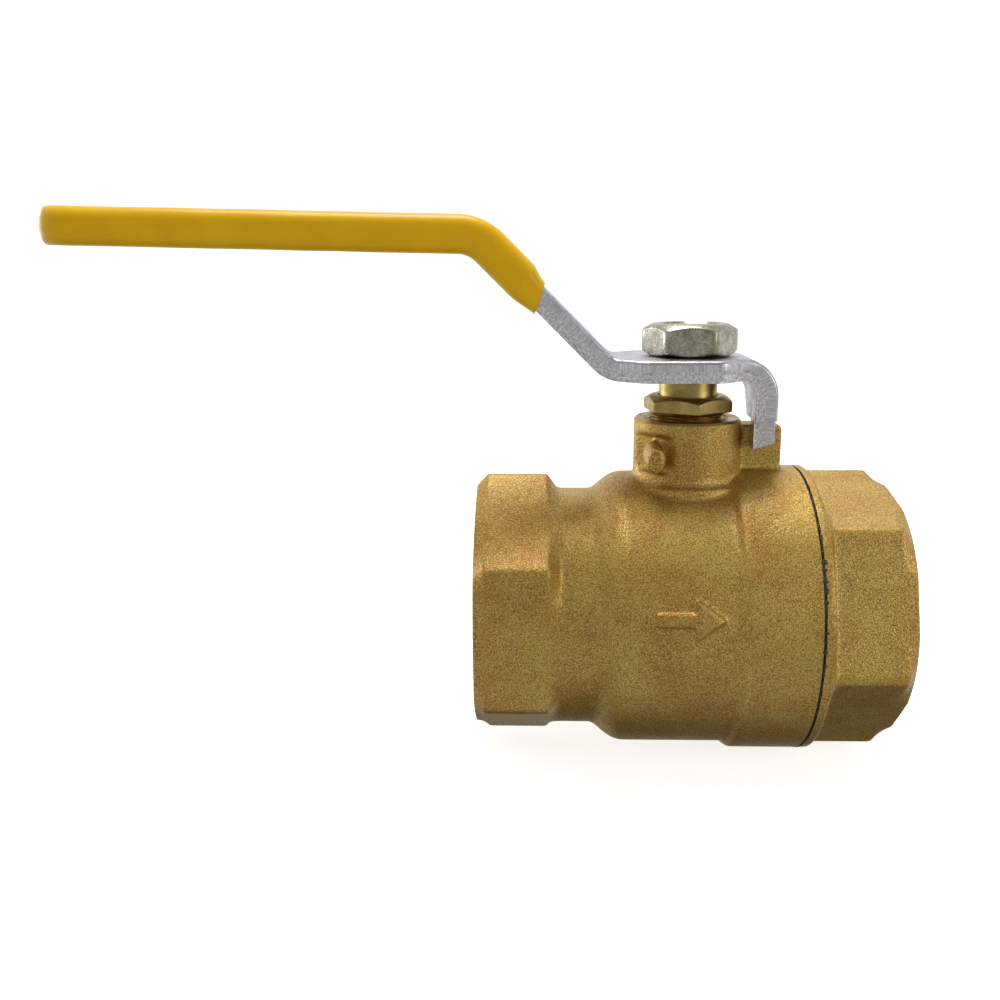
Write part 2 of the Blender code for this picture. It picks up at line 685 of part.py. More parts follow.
class LeverLine:
    """The middle line of the lever's plate in the XZ plane: straight runs joined by bends."""

    def __init__(self, corners, radii):
        self.runs = []
        self.length = 0.0
        start = Vector(corners[0])
        for index, radius in enumerate(radii):
            before = (Vector(corners[index + 1]) - Vector(corners[index])).normalized()
            after = (Vector(corners[index + 2]) - Vector(corners[index + 1])).normalized()
            turn = math.atan2(before.x * after.y - before.y * after.x, before.dot(after))
            setback = radius * math.tan(abs(turn) / 2)
            bend_start = Vector(corners[index + 1]) - before * setback
            self._add("line", start, before, (bend_start - start).length, 0.0)
            self._add("bend", bend_start, before, radius * abs(turn), math.copysign(1 / radius, turn))
            start = Vector(corners[index + 1]) + after * setback
        end = Vector(corners[-1])
        self._add("line", start, (end - start).normalized(), (end - start).length, 0.0)

    def _add(self, kind, start, direction, length, curvature):
        self.runs.append((kind, self.length, start, direction, length, curvature))
        self.length += length

    def stations(self):
        """Distances from the tip: both ends of each straight run, and steps round each bend."""
        places = [0.0]
        for kind, begin, _, _, length, _ in self.runs:
            count = BEND_STEPS if kind == "bend" else 1
            places += [begin + length * (i + 1) / count for i in range(count)]
        return places

    def at(self, distance):
        """The point at a distance from the tip, and the plate's upward normal there."""
        chosen = self.runs[0]
        for run in self.runs:
            if distance >= run[1]:
                chosen = run
        _, begin, start, direction, _, curvature = chosen
        along = distance - begin
        side = Vector((-direction.y, direction.x))
        if curvature == 0.0:
            return start + direction * along, side
        turn = along * curvature
        point = start + direction * (math.sin(turn) / curvature) + side * ((1 - math.cos(turn)) / curvature)
        return point, side * math.cos(turn) - direction * math.sin(turn)


def lever_line():
    middle_z = PLATE_BOTTOM_Z + PLATE / 2
    tab_x = TAB_INNER_X + PLATE / 2
    upper_x = -(LOWER_BEND_X + LEVER_RISE / math.tan(math.radians(RISER_ANGLE)))
    upper_z = middle_z + LEVER_RISE
    tip_z = upper_z + (LEVER_REACH + upper_x) * math.tan(math.radians(GRIP_SLOPE))
    corners = [
        (-LEVER_REACH, tip_z),
        (upper_x, upper_z),
        (-LOWER_BEND_X, middle_z),
        (tab_x, middle_z),
        (tab_x, FINGER_BOTTOM_Z),
    ]
    return LeverLine(corners, [BEND_RADIUS_UPPER, BEND_RADIUS_LOWER, BEND_RADIUS_TAB])


def smooth_step(value, start, end):
    t = min(1.0, max(0.0, (value - start) / (end - start)))
    return t * t * (3 - 2 * t)


def arm_places(line):
    """Where the lever needs a section: round its tip, in its bends and along its hub."""
    tip = [TIP_ROUND * (1 - math.cos(math.pi / 2 * i / TIP_STEPS)) for i in range(1, TIP_STEPS + 1)]
    hub_start = line.runs[3][1]
    hub_steps = int((line.length - hub_start) / STATION_STEP)
    hub = [hub_start + i * STATION_STEP for i in range(hub_steps)]
    places = sorted(line.stations() + tip + hub)
    return [a for a, b in zip(places, places[1:] + [math.inf]) if b - a > STATION_STEP / 20]


def edge_at(line, distance):
    """How far the plate reaches towards -Y and towards +Y at a distance from the tip."""
    point, _ = line.at(distance)
    width = ARM_HALF_WIDTH
    if distance < TIP_ROUND:
        left = 1 - distance / TIP_ROUND
        width -= TIP_ROUND * (1 - math.sqrt(max(0.0, 1 - left * left)))
    hub_start = -(HUB_FLAT_HALF_LENGTH + HUB_TAPER)
    width += (HUB_HALF_WIDTH - ARM_HALF_WIDTH) * smooth_step(point.x, hub_start, -HUB_FLAT_HALF_LENGTH)
    tab_middle = TAB_INNER_X + PLATE / 2 - BEND_RADIUS_TAB / 2
    width += (TAB_HALF_WIDTH - HUB_HALF_WIDTH) * smooth_step(point.x, HUB_FLAT_HALF_LENGTH / 2, tab_middle)
    front, back = width, width
    finger_start = line.length - FINGER_LENGTH
    taper_start = finger_start - TAB_HALF_WIDTH
    if distance > taper_start:
        back -= TAB_BACK_TAPER * min(1.0, (distance - taper_start) / TAB_HALF_WIDTH)
    if distance > finger_start + STEP_RAMP / 2:
        front, back = FINGER_FRONT, -(FINGER_FRONT - FINGER_WIDTH)
    return front, back


def lever_sections():
    line = lever_line()
    step_at = line.length - FINGER_LENGTH
    places = [p for p in arm_places(line) if abs(p - step_at) > STEP_RAMP]
    places += [step_at, step_at + STEP_RAMP]
    sections = []
    for distance in sorted(places):
        point, up = line.at(distance)
        front, back = edge_at(line, distance)
        corners = ((1, -front), (1, back), (-1, back), (-1, -front))
        faces = [(point + up * side * PLATE / 2, y) for side, y in corners]
        sections.append([(where.x, y, where.y) for where, y in faces])
    return sections


def make_lever(zinc):
    lever = add_object("lever", loft(lever_sections()), zinc)
    outline = []
    radius, flat = STEM_THREAD_RADIUS + CLEARANCE, STEM_FLATS + CLEARANCE
    for step in range(SMALL_SEGMENTS):
        angle = math.tau * step / SMALL_SEGMENTS
        y = radius * math.sin(angle)
        outline.append((radius * math.cos(angle), max(-flat, min(flat, y))))
    hole = loft([[(x, y, z) for x, y in outline] for z in (PLATE_BOTTOM_Z - PAST, PLATE_TOP_Z + PAST)])
    combine(lever, add_object("lever_hole_shape", hole), "DIFFERENCE")


def sleeve_section(line, distance, thickness, spread, corner):
    """A rounded oblong across the lever, thickness and spread being its half sizes past the plate's middle."""
    point, up = line.at(distance)
    ring = []
    for quarter in range(4):
        centre_angle = math.pi / 4 + quarter * math.pi / 2
        sign_y = 1 if math.cos(centre_angle) > 0 else -1
        sign_n = 1 if math.sin(centre_angle) > 0 else -1
        for step in range(SLEEVE_CORNER_STEPS):
            a = math.pi / 2 * (quarter + step / (SLEEVE_CORNER_STEPS - 1))
            y = sign_y * (spread - corner) + corner * math.cos(a)
            n = sign_n * (thickness - corner) + corner * math.sin(a)
            where = point + up * n
            ring.append((where.x, y, where.y))
    return ring


def sleeve_solid(line, end, grow, corner):
    """A solid over the gripped end of the lever, larger than the plate by grow all round."""
    places = [p for p in arm_places(line) if p < end - STATION_STEP / 2] + [end]
    sections = []
    past_tip = corner
    for share in SLEEVE_NOSE_SHARES:
        lean = math.sqrt(1 - (1 - share) ** 2)
        width = edge_at(line, 0.0)[0] + grow - past_tip * (1 - lean)
        height = PLATE / 2 + grow - past_tip * (1 - lean)
        tightest = min(corner, height * SLEEVE_FLATTEST)
        sections.append(sleeve_section(line, -grow * (1 - share), height, width, tightest))
    for distance in places:
        width = edge_at(line, distance)[0] + grow
        sections.append(sleeve_section(line, distance, PLATE / 2 + grow, width, corner))
    return loft(sections)


def make_grip(vinyl):
    line = lever_line()
    riser_corner = LEVER_RISE / math.sin(math.radians(RISER_ANGLE))
    bend_begin = line.runs[1]
    riser_end = bend_begin[1] + bend_begin[4] / 2 + riser_corner - SLEEVE_START
    grip = add_object("grip_sleeve", sleeve_solid(line, riser_end, CLEARANCE + SLEEVE_WALL, SLEEVE_CORNER), vinyl)
    hollow = sleeve_solid(line, riser_end + ROOTED, CLEARANCE, CLEARANCE)
    combine(grip, add_object("grip_hollow_shape", hollow), "DIFFERENCE")


# ---------------------------------------------------------------- the whole valve


def build():
    clear_scene()
    brass = finish_material("forged_brass", (0.46, 0.30, 0.10), 0.55, 1.0)
    machined = finish_material("machined_brass", (0.60, 0.42, 0.14), 0.28, 1.0)
    chrome = finish_material("chromed_brass", (0.70, 0.71, 0.72), 0.08, 1.0)
    zinc = finish_material("zinc_plated_steel", (0.60, 0.60, 0.61), 0.38, 1.0)
    ptfe = finish_material("ptfe", (0.90, 0.90, 0.88), 0.55, 0.0)
    vinyl = finish_material("yellow_vinyl", (0.78, 0.50, 0.0), 0.32, 0.0)
    sealant = finish_material("thread_sealant", (0.05, 0.09, 0.05), 0.5, 0.0)
    make_body(brass)
    add_object("end_cap", cap_shell(), brass)
    add_object("thread_sealant_bead", sealant_ring(), sealant)
    make_ball(chrome)
    add_object("seat_ring_body_side", seat_ring(-1), ptfe)
    add_object("seat_ring_cap_side", seat_ring(1), ptfe)
    make_stem(machined)
    make_seals(ptfe)
    make_gland(machined)
    make_lever(zinc)
    make_grip(vinyl)
    make_handle_nut(zinc)


build()
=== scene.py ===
# %% [markdown]
# # A brass ball valve, one and a half inch
#
# This file dresses a working model of a ball valve. The working model has the right sizes and the
# right joints, but its surfaces are plain. Each step below makes one piece or one finish as it is on
# the real valve, and puts it where the working model says that it belongs.

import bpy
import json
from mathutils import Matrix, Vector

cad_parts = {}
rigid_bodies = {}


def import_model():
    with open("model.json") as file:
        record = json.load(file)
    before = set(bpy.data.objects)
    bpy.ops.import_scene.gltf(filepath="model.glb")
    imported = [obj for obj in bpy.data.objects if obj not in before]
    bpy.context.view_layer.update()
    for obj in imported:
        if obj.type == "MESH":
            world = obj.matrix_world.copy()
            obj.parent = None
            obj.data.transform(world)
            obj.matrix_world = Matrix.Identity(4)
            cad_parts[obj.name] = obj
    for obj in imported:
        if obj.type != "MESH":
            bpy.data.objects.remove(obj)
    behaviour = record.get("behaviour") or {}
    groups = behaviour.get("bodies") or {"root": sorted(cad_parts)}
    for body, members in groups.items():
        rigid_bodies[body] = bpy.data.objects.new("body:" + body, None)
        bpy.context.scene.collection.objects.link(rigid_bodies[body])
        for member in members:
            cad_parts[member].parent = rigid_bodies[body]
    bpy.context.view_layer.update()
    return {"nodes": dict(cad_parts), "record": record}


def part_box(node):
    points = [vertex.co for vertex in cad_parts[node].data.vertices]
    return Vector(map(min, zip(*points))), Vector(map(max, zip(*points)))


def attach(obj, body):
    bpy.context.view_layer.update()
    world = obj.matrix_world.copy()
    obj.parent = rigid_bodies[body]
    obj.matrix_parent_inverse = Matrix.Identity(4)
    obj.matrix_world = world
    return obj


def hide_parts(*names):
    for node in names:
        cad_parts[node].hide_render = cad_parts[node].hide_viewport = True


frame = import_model()
print("nodes", sorted(frame["nodes"]))

# %% [markdown]
# The pipe runs along X, the stem stands along Z and the ball's centre is the origin. A maker thinks in
# millimetres, so shapes are worked out in millimetres and shrunk to metres when they become objects.
# Every main size is measured on the working model, so that nothing has to be fitted later.

# %% Measure the working model
import json
import math

import bmesh
import bpy
from mathutils import Matrix, Vector, noise

MM = 0.001
GAP = 0.3  # what the working model leaves between pieces that touch
X, Y, Z = range(3)
COS_30 = math.cos(math.radians(30))  # from a hexagon's corners to its flats


def ends_of(node):
    low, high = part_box(node)
    return low / MM, high / MM


def reach(node, axis, place, slack=0.15, pick=max):
    """The farthest (or nearest) that a node's points get from its X or Z axis, near a place along it."""
    points = [v.co / MM for v in frame["nodes"][node].data.vertices]
    across = [i for i in (X, Y, Z) if i != axis]
    near = [p for p in points if abs(p[axis] - place) < slack]
    return pick(math.hypot(*(p[i] for i in across)) for p in near)


def flat_of(mount):
    """The distance of a spanner flat from the pipe axis, and how far it is turned from -Y."""
    _, y, z = (place / MM for place in mounts[mount]["pos_m"])
    return math.hypot(y, z), math.degrees(math.atan2(z, -y))


mounts = {mount["name"]: mount for mount in frame["record"]["mounts"]}
body_low, body_high = ends_of("body")
cap_low, cap_high = ends_of("end_cap")
seat_low, seat_high = ends_of("seat_ring_cap_side")
nut_low, nut_high = ends_of("handle_nut")
PLATE = 4.7
PLATE_TOP = nut_low.z - GAP
PLATE_BOTTOM = PLATE_TOP - PLATE
STEM_SEAT = PLATE_BOTTOM - GAP
STEM = reach("stem", Z, STEM_SEAT - GAP)
BODY_FACE, JOINT_FACE, COLLAR, NECK_TOP = body_low.x, body_high.x, body_high.y, body_high.z
NOSE, CAP_FACE = cap_low.x, cap_high.x
BODY_FLATS, _ = flat_of("body_wrench_flat")
CAP_FLATS, CAP_TURN = flat_of("cap_wrench_flat")
print(f"face to face {CAP_FACE - BODY_FACE:.1f} mm")
print(f"across the flats {2 * BODY_FLATS:.1f} and {2 * CAP_FLATS:.1f} mm")

# %% [markdown]
# ## The camera
#
# The valve is looked at from close by, a little from above and a little from the left. The lens is a
# short one for such a small thing, which is why the hexagons show their end edges as curves.

# %% Place the camera
CAMERA_PLACE = Vector((-34.77, -236.96, 79.34)) * MM
LOOKS_DOWN, LOOKS_LEFT, LEANS = 12.99, 1.72, -0.29
SENSOR, LENS = 36.0, 38.3

camera = bpy.data.objects.new("camera", bpy.data.cameras.new("camera"))
bpy.context.scene.collection.objects.link(camera)
camera.data.sensor_width = SENSOR
camera.data.lens = LENS
camera.data.clip_start = 0.01
turned = Matrix.Rotation(math.radians(LOOKS_LEFT), 4, "Z")
tipped = Matrix.Rotation(math.radians(90 - LOOKS_DOWN), 4, "X")
leaned = Matrix.Rotation(math.radians(LEANS), 4, "Z")
camera.matrix_world = Matrix.Translation(CAMERA_PLACE) @ turned @ tipped @ leaned
bpy.context.scene.camera = camera
print("camera at", [round(c, 3) for c in camera.location])

# %% [markdown]
# ## Finishes
#
# Every finish is a Principled shader fed by a few noises. The noises are laid out in object space, in
# metres, so a scale of 1000 gives grains of about a millimetre. Small helpers keep each recipe short:
# one starts a material, one lays a noise, one mixes two colours, and one feeds it all to the shader.

# %% Helpers for finishes


def start_finish(name, metallic=1.0, roughness=0.4, **sockets):
    """A material whose uniform numbers are set on the shader itself."""
    material = bpy.data.materials.new(name)
    material.use_nodes = True
    shader = material.node_tree.nodes["Principled BSDF"]
    shader.inputs["Metallic"].default_value = metallic
    shader.inputs["Roughness"].default_value = roughness
    for socket, value in sockets.items():
        shader.inputs[socket.replace("_", " ")].default_value = value
    return material, material.node_tree, shader


def place_in(tree, stretch=(1, 1, 1), source="Object"):
    """Object-space places, stretched, for the noises to be laid on."""
    where = tree.nodes.new("ShaderNodeTexCoord")
    mapping = tree.nodes.new("ShaderNodeMapping")
    mapping.inputs["Scale"].default_value = stretch
    tree.links.new(where.outputs[source], mapping.inputs["Vector"])
    return mapping.outputs["Vector"]


def lay_noise(tree, where, scale, detail=3.0, rough=0.55, twist=0.0):
    texture = tree.nodes.new("ShaderNodeTexNoise")
    texture.inputs["Scale"].default_value = scale
    texture.inputs["Detail"].default_value = detail
    texture.inputs["Roughness"].default_value = rough
    texture.inputs["Distortion"].default_value = twist
    tree.links.new(where, texture.inputs["Vector"])
    return texture.outputs["Fac"]


def stretch_range(tree, value, low, high, to_low=0.0, to_high=1.0):
    remap = tree.nodes.new("ShaderNodeMapRange")
    for socket, number in zip(("From Min", "From Max", "To Min", "To Max"), (low, high, to_low, to_high)):
        remap.inputs[socket].default_value = number
    tree.links.new(value, remap.inputs["Value"])
    return remap.outputs["Result"]


def blend_colours(tree, share, first, second):
    """Mixes two colours, each a triple or another node's output, by a share from 0 to 1."""
    mix = tree.nodes.new("ShaderNodeMix")
    mix.data_type = "RGBA"
    tree.links.new(share, mix.inputs["Factor"])
    for socket, colour in ((mix.inputs[6], first), (mix.inputs[7], second)):
        if isinstance(colour, tuple):
            socket.default_value = (*colour, 1.0)
        else:
            tree.links.new(colour, socket)
    return mix.outputs[2]


def feed(tree, shader, colour, rough, *bumps):
    """Feeds the shader. The bumps are chained, each (height, how strong, how deep in millimetres)."""
    tree.links.new(colour, shader.inputs["Base Color"])
    tree.links.new(rough, shader.inputs["Roughness"])
    normal = None
    for height, strength, depth in bumps:
        bump = tree.nodes.new("ShaderNodeBump")
        bump.inputs["Strength"].default_value = strength
        bump.inputs["Distance"].default_value = depth * MM
        tree.links.new(height, bump.inputs["Height"])
        if normal is not None:
            tree.links.new(normal, bump.inputs["Normal"])
        normal = bump.outputs["Normal"]
    tree.links.new(normal, shader.inputs["Normal"])


# %% [markdown]
# ### Blasted brass
#
# The body and the cap are forged hot and then blasted clean, which leaves a skin of tiny dents, about
# half a millimetre wide, and a grain half as coarse. The grain goes into the bump and the roughness, and
# into the colour as dark specks and as pale painted glints, a painted highlight on the grain's peaks.
# Soft blotches of redder metal come from handling and from the air.

# %% Blasted brass


def blasted_brass():
    red_brass, yellow_brass, tarnished = (0.57, 0.30, 0.045), (0.64, 0.43, 0.085), (0.36, 0.21, 0.07)
    # the pale colour on the next line is for painted glints, a painted highlight on the grain
    dark_grain, painted_glint_pale = (0.17, 0.10, 0.03), (0.92, 0.74, 0.38)
    material, tree, shader = start_finish("blasted_brass", Coat_Weight=0.3, Coat_Roughness=0.36)
    where = place_in(tree)
    grain = lay_noise(tree, where, 3600, detail=2.0, rough=0.6)
    dents = lay_noise(tree, where, 1700, detail=3.0, rough=0.6)
    blotch = lay_noise(tree, where, 75, detail=5.0, rough=0.6, twist=0.6)
    tarnish = lay_noise(tree, where, 310, detail=4.0, rough=0.65)
    metal = blend_colours(tree, stretch_range(tree, blotch, 0.38, 0.62), red_brass, yellow_brass)
    stained = blend_colours(tree, stretch_range(tree, tarnish, 0.56, 0.70, 0.0, 0.5), metal, tarnished)
    speckled = blend_colours(tree, stretch_range(tree, grain, 0.38, 0.50, 0.7, 0.0), stained, dark_grain)
    # pale painted glints: a painted highlight laid on the peaks of the grain
    painted_glints = blend_colours(tree, stretch_range(tree, grain, 0.53, 0.64, 0.0, 0.6), speckled, painted_glint_pale)
    rough = stretch_range(tree, grain, 0.35, 0.65, 0.62, 0.40)
    feed(tree, shader, painted_glints, rough, (dents, 0.6, 0.20), (grain, 0.6, 0.16))
    return material


BLASTED = blasted_brass()
print("made", BLASTED.name)

# %% [markdown]
# ### Turned brass
#
# Port faces, the neck's rim, the gland nut and the stem are cut on a lathe. The tool leaves fine rings
# round the turning axis. A noise that reads only the distance from that axis, and the place along it,
# draws such rings, so one recipe serves both the pipe axis and the stem axis.

# %% Turned brass


def turned_brass(name, axis, light, dark, roughness):
    material, tree, shader = start_finish(name)
    where = place_in(tree)
    split = tree.nodes.new("ShaderNodeSeparateXYZ")
    tree.links.new(where, split.inputs["Vector"])
    across = [split.outputs[i] for i in (X, Y, Z) if i != axis]
    flat = tree.nodes.new("ShaderNodeCombineXYZ")
    for output, socket in zip(across, flat.inputs):
        tree.links.new(output, socket)
    length = tree.nodes.new("ShaderNodeVectorMath")
    length.operation = "LENGTH"
    tree.links.new(flat.outputs["Vector"], length.inputs[0])
    rings = tree.nodes.new("ShaderNodeCombineXYZ")
    tree.links.new(length.outputs["Value"], rings.inputs["X"])
    tree.links.new(split.outputs[axis], rings.inputs["Y"])
    tool_marks = lay_noise(tree, rings.outputs["Vector"], 5200, detail=2.0)
    stain = lay_noise(tree, where, 190, detail=5.0, rough=0.6)
    smudged = blend_colours(tree, stretch_range(tree, stain, 0.40, 0.66), light, dark)
    rough = stretch_range(tree, stain, 0.3, 0.7, roughness, roughness + 0.18)
    feed(tree, shader, smudged, rough, (tool_marks, 0.35, 0.05), (stain, 0.15, 0.1))
    return material


PORT_BRASS = turned_brass("turned_port_brass", X, (0.78, 0.58, 0.27), (0.58, 0.39, 0.15), 0.24)
STEM_BRASS = turned_brass("turned_stem_brass", Z, (0.58, 0.43, 0.15), (0.34, 0.24, 0.07), 0.26)
# the thread's darker colour is painted shade, for the thread under the gland nut's hexagon
THREAD_BRASS_PAINTED_SHADE = turned_brass("turned_thread_brass_painted_shade", Z, (0.44, 0.28, 0.09), (0.22, 0.13, 0.04), 0.36)
print("made", PORT_BRASS.name, STEM_BRASS.name, THREAD_BRASS_PAINTED_SHADE.name)

# %% [markdown]
# ### Zinc on steel
#
# The lever is blanked from plate and zinc plated. Its faces are smooth and grey with soft mottling. Its
# edges tell how it was cut: the upper part is sheared, with fine lines across the edge, and the lower
# part is torn and rough. The lines are laid on the unwrapped edge, stretched so that they run across.

# %% Zinc plated steel


def zinc_plate(name, light, dark, roughness, grain_depth, speckle):
    material, tree, shader = start_finish(name)
    where = place_in(tree)
    mottle = lay_noise(tree, where, 420, detail=5.0, rough=0.65)
    grain = lay_noise(tree, where, 2600, detail=2.0)
    cloudy = blend_colours(tree, stretch_range(tree, mottle, 0.38, 0.64), light, dark)
    pits = stretch_range(tree, grain, 0.38, 0.54, speckle, 0.0)
    pitted = blend_colours(tree, pits, cloudy, (0.17, 0.16, 0.12))
    rough = stretch_range(tree, mottle, 0.3, 0.7, roughness - 0.06, roughness + 0.12)
    feed(tree, shader, pitted, rough, (mottle, 0.2, 0.15), (grain, 0.4, grain_depth))
    return material


def cut_edge(name, light, dark, roughness, stretch, depth):
    """A plated edge whose marks follow the unwrapped edge: U along the lever and V across it, in mm."""
    material, tree, shader = start_finish(name)
    marks = lay_noise(tree, place_in(tree, (*stretch, 1.0), "UV"), 1.0, detail=3.0, rough=0.6)
    stain = lay_noise(tree, place_in(tree), 500, detail=4.0, rough=0.6)
    lines = blend_colours(tree, stretch_range(tree, marks, 0.40, 0.62), dark, light)
    stains = stretch_range(tree, stain, 0.58, 0.72, 0.0, 0.55)
    stained = blend_colours(tree, stains, lines, (0.16, 0.15, 0.15))
    rough = stretch_range(tree, marks, 0.3, 0.7, roughness + 0.1, roughness)
    feed(tree, shader, stained, rough, (marks, 0.7, depth))
    return material


PLATE_ZINC = zinc_plate("zinc_plate", (0.68, 0.67, 0.72), (0.48, 0.46, 0.51), 0.34, 0.04, 0.2)
NUT_ZINC = zinc_plate("zinc_nut", (0.62, 0.60, 0.50), (0.36, 0.34, 0.25), 0.24, 0.05, 0.55)
SHEARED_ZINC = cut_edge("sheared_zinc", (0.90, 0.89, 0.90), (0.56, 0.55, 0.57), 0.36, (3.2, 0.25), 0.10)
TORN_ZINC = cut_edge("torn_zinc", (0.93, 0.92, 0.92), (0.56, 0.55, 0.56), 0.46, (1.9, 1.7), 0.20)
print("made", PLATE_ZINC.name, NUT_ZINC.name, SHEARED_ZINC.name, TORN_ZINC.name)

# %% [markdown]
# ### Vinyl, sealant, seat plastic and the ball's chrome
#
# The grip is dipped in liquid vinyl, so it is smooth and glossy with a faint waviness. The sealant is a
# cured liquid, nearly black with a green tint. The seats are white, waxy plastic. The ball is plated
# with hard chrome, polished, and only lightly marked by turning against its seats.

# %% Plastics, sealant and chrome


def soft_finish(name, light, dark, roughness, scale, depth, metallic=0.0, **sockets):
    material, tree, shader = start_finish(name, metallic, roughness, **sockets)
    where = place_in(tree)
    cloud = lay_noise(tree, where, scale, detail=4.0, rough=0.6)
    fine = lay_noise(tree, where, scale * 12, detail=2.0)
    cloudy = blend_colours(tree, stretch_range(tree, cloud, 0.35, 0.68), light, dark)
    rough = stretch_range(tree, fine, 0.3, 0.7, roughness - 0.04, roughness + 0.08)
    feed(tree, shader, cloudy, rough, (cloud, 0.25, depth), (fine, 0.15, depth / 6))
    return material


VINYL = soft_finish(
    "dipped_vinyl", (0.96, 0.56, 0.0), (0.88, 0.49, 0.0), 0.32, 85, 0.25,
    Specular_IOR_Level=0.2, Coat_Weight=0.1, Coat_Roughness=0.12, Subsurface_Weight=0.08, Subsurface_Scale=0.002,
)
SEALANT = soft_finish("cured_sealant", (0.014, 0.018, 0.010), (0.05, 0.055, 0.03), 0.62, 900, 0.2)
SEAT_PLASTIC = soft_finish("seat_plastic", (0.86, 0.86, 0.83), (0.76, 0.76, 0.73), 0.42, 260, 0.05)
CHROME = soft_finish("hard_chrome", (0.78, 0.79, 0.81), (0.70, 0.71, 0.73), 0.09, 140, 0.02, metallic=1.0)
print("made", VINYL.name, SEALANT.name, SEAT_PLASTIC.name, CHROME.name)

# %% [markdown]
# ## Tools for shapes
#
# Nearly every piece here is a skin stretched over rings of points, so one function joins rings. The
# rings themselves come from three rules: a ring about X, a ring about Z, or a section across the lever.

# %% Helpers for meshes
FINE, ROUND = 192, 96  # steps round the pipe, and round the stem and the cutters


def make_object(name, points, faces, materials, face_materials=None, unwrapped=None):
    """An object from points in millimetres, with its faces turned outwards, and perhaps unwrapped."""
    mesh = bpy.data.meshes.new(name)
    mesh.from_pydata([tuple(c * MM for c in p) for p in points], [], faces)
    for material in materials:
        mesh.materials.append(material)
    if face_materials is not None:
        mesh.polygons.foreach_set("material_index", face_materials)
    if unwrapped is not None:
        layer = mesh.uv_layers.new(name="unwrapped")
        for loop in mesh.loops:
            layer.data[loop.index].uv = unwrapped[loop.vertex_index]
    work = bmesh.new()
    work.from_mesh(mesh)
    bmesh.ops.remove_doubles(work, verts=work.verts, dist=2e-6)
    bare = [edge for edge in work.edges if not edge.link_faces]
    bmesh.ops.delete(work, geom=bare, context="EDGES")
    bmesh.ops.recalc_face_normals(work, faces=work.faces)
    work.to_mesh(mesh)
    work.free()
    obj = bpy.data.objects.new(name, mesh)
    bpy.context.scene.collection.objects.link(obj)
    return obj


def skin(rings, closed=False):
    """Points and faces of a skin over rings of equally many points, with flat ends unless it is closed."""
    count = len(rings[0])
    points = [point for ring in rings for point in ring]
    faces = []
    for i in range(len(rings) if closed else len(rings) - 1):
        start, after = i * count, (i + 1) % len(rings) * count
        for j in range(count):
            k = (j + 1) % count
            faces.append((start + j, start + k, after + k, after + j))
    if not closed:
        faces += [tuple(range(count)), tuple(range(len(points) - count, len(points)))]
    return points, faces


def shade(obj, sharpest=38.0):
    obj.data.shade_smooth()
    obj.data.set_sharp_from_angle(angle=math.radians(sharpest))
    return obj


def settle(obj):
    """Makes what the modifiers give the object's own mesh."""
    graph = bpy.context.evaluated_depsgraph_get()
    mesh = bpy.data.meshes.new_from_object(obj.evaluated_get(graph))
    obj.modifiers.clear()
    obj.data = mesh


def cut(obj, tool, operation="DIFFERENCE"):
    """Cuts with a tool, or joins it on, and puts the tool away."""
    boolean = obj.modifiers.new("cut", "BOOLEAN")
    boolean.operation = operation
    boolean.solver = "MANIFOLD"
    boolean.object = tool
    settle(obj)
    bpy.data.objects.remove(tool, do_unlink=True)
    assert len(obj.data.polygons) > 6, f"nothing is left of {obj.name}"


def rounded(corners, radii, steps=4):
    """A closed outline with each corner replaced by an arc, shrunk where the sides are too short."""
    outline = []
    for i, (corner, radius) in enumerate(zip(corners, radii)):
        here = Vector(corner)
        back = Vector(corners[i - 1]) - here
        ahead = Vector(corners[(i + 1) % len(corners)]) - here
        half = back.angle(ahead) / 2
        setback = min(radius / math.tan(half), 0.48 * min(back.length, ahead.length))
        radius = setback * math.tan(half)
        centre = here + (back.normalized() + ahead.normalized()).normalized() * (radius / math.sin(half))
        start = here + back.normalized() * setback - centre
        end = here + ahead.normalized() * setback - centre
        sweep = math.atan2(start.x * end.y - start.y * end.x, start.dot(end))
        for step in range(steps + 1):
            a = sweep * step / steps
            cos_a, sin_a = math.cos(a), math.sin(a)
            spun = Vector((start.x * cos_a - start.y * sin_a, start.x * sin_a + start.y * cos_a))
            outline.append(tuple(centre + spun))
    return outline


def hexagon(angle, flats, corner_round):
    """Distance from the axis to a hexagon with rounded corners, at degrees from one of its corners."""
    off = math.radians(abs((angle + 30.0) % 60.0 - 30.0))
    centre = (flats - corner_round) / COS_30
    if off < math.atan2(corner_round / 2, centre + corner_round * COS_30):
        return centre * math.cos(off) + math.sqrt(corner_round**2 - (centre * math.sin(off)) ** 2)
    return flats / math.cos(math.radians(30) - off)


def pipe_ring(x, radius, flats=None, turn=0.0, corner_round=2.2):
    """A ring about the pipe axis from -Y upwards: round, or what a hexagon leaves of it."""
    ring = []
    for step in range(FINE):
        angle = 360.0 * step / FINE
        here = radius if flats is None else min(radius, hexagon(angle - 90.0, flats, corner_round))
        spin = math.radians(angle + turn)
        ring.append((x, -here * math.cos(spin), here * math.sin(spin)))
    return ring


def stem_ring(outline, angle):
    """An outline of (radius, height) points, stood up at an angle round the stem axis."""
    return [(r * math.cos(angle), r * math.sin(angle), z) for r, z in outline]


def turned_about_z(name, outline, materials, face_material=0):
    """A closed outline of (radius, height) points spun round the stem axis."""
    rings = [stem_ring(outline, math.tau * i / ROUND) for i in range(ROUND)]
    points, faces = skin(rings, closed=True)
    return make_object(name, points, faces, materials, [face_material] * len(faces))


# %% [markdown]
# A screw thread is a groove that climbs by one pitch each turn. On a ring about the axis, its depth
# depends only on where the ring is along the thread and on the angle round it, so a thread can be part
# of the same skin as the plain stretches before and after it.

# %% Helper for threads


def thread_depth(along, angle, pitch, flat=0.12):
    """From 0 at a crest to 1 at a root, for a place along the axis and an angle round it in radians."""
    phase = (along / pitch - angle / math.tau) % 1.0
    slope = abs(2 * phase - 1)
    return min(1.0, max(0.0, (slope - flat) / (1 - 2 * flat)))


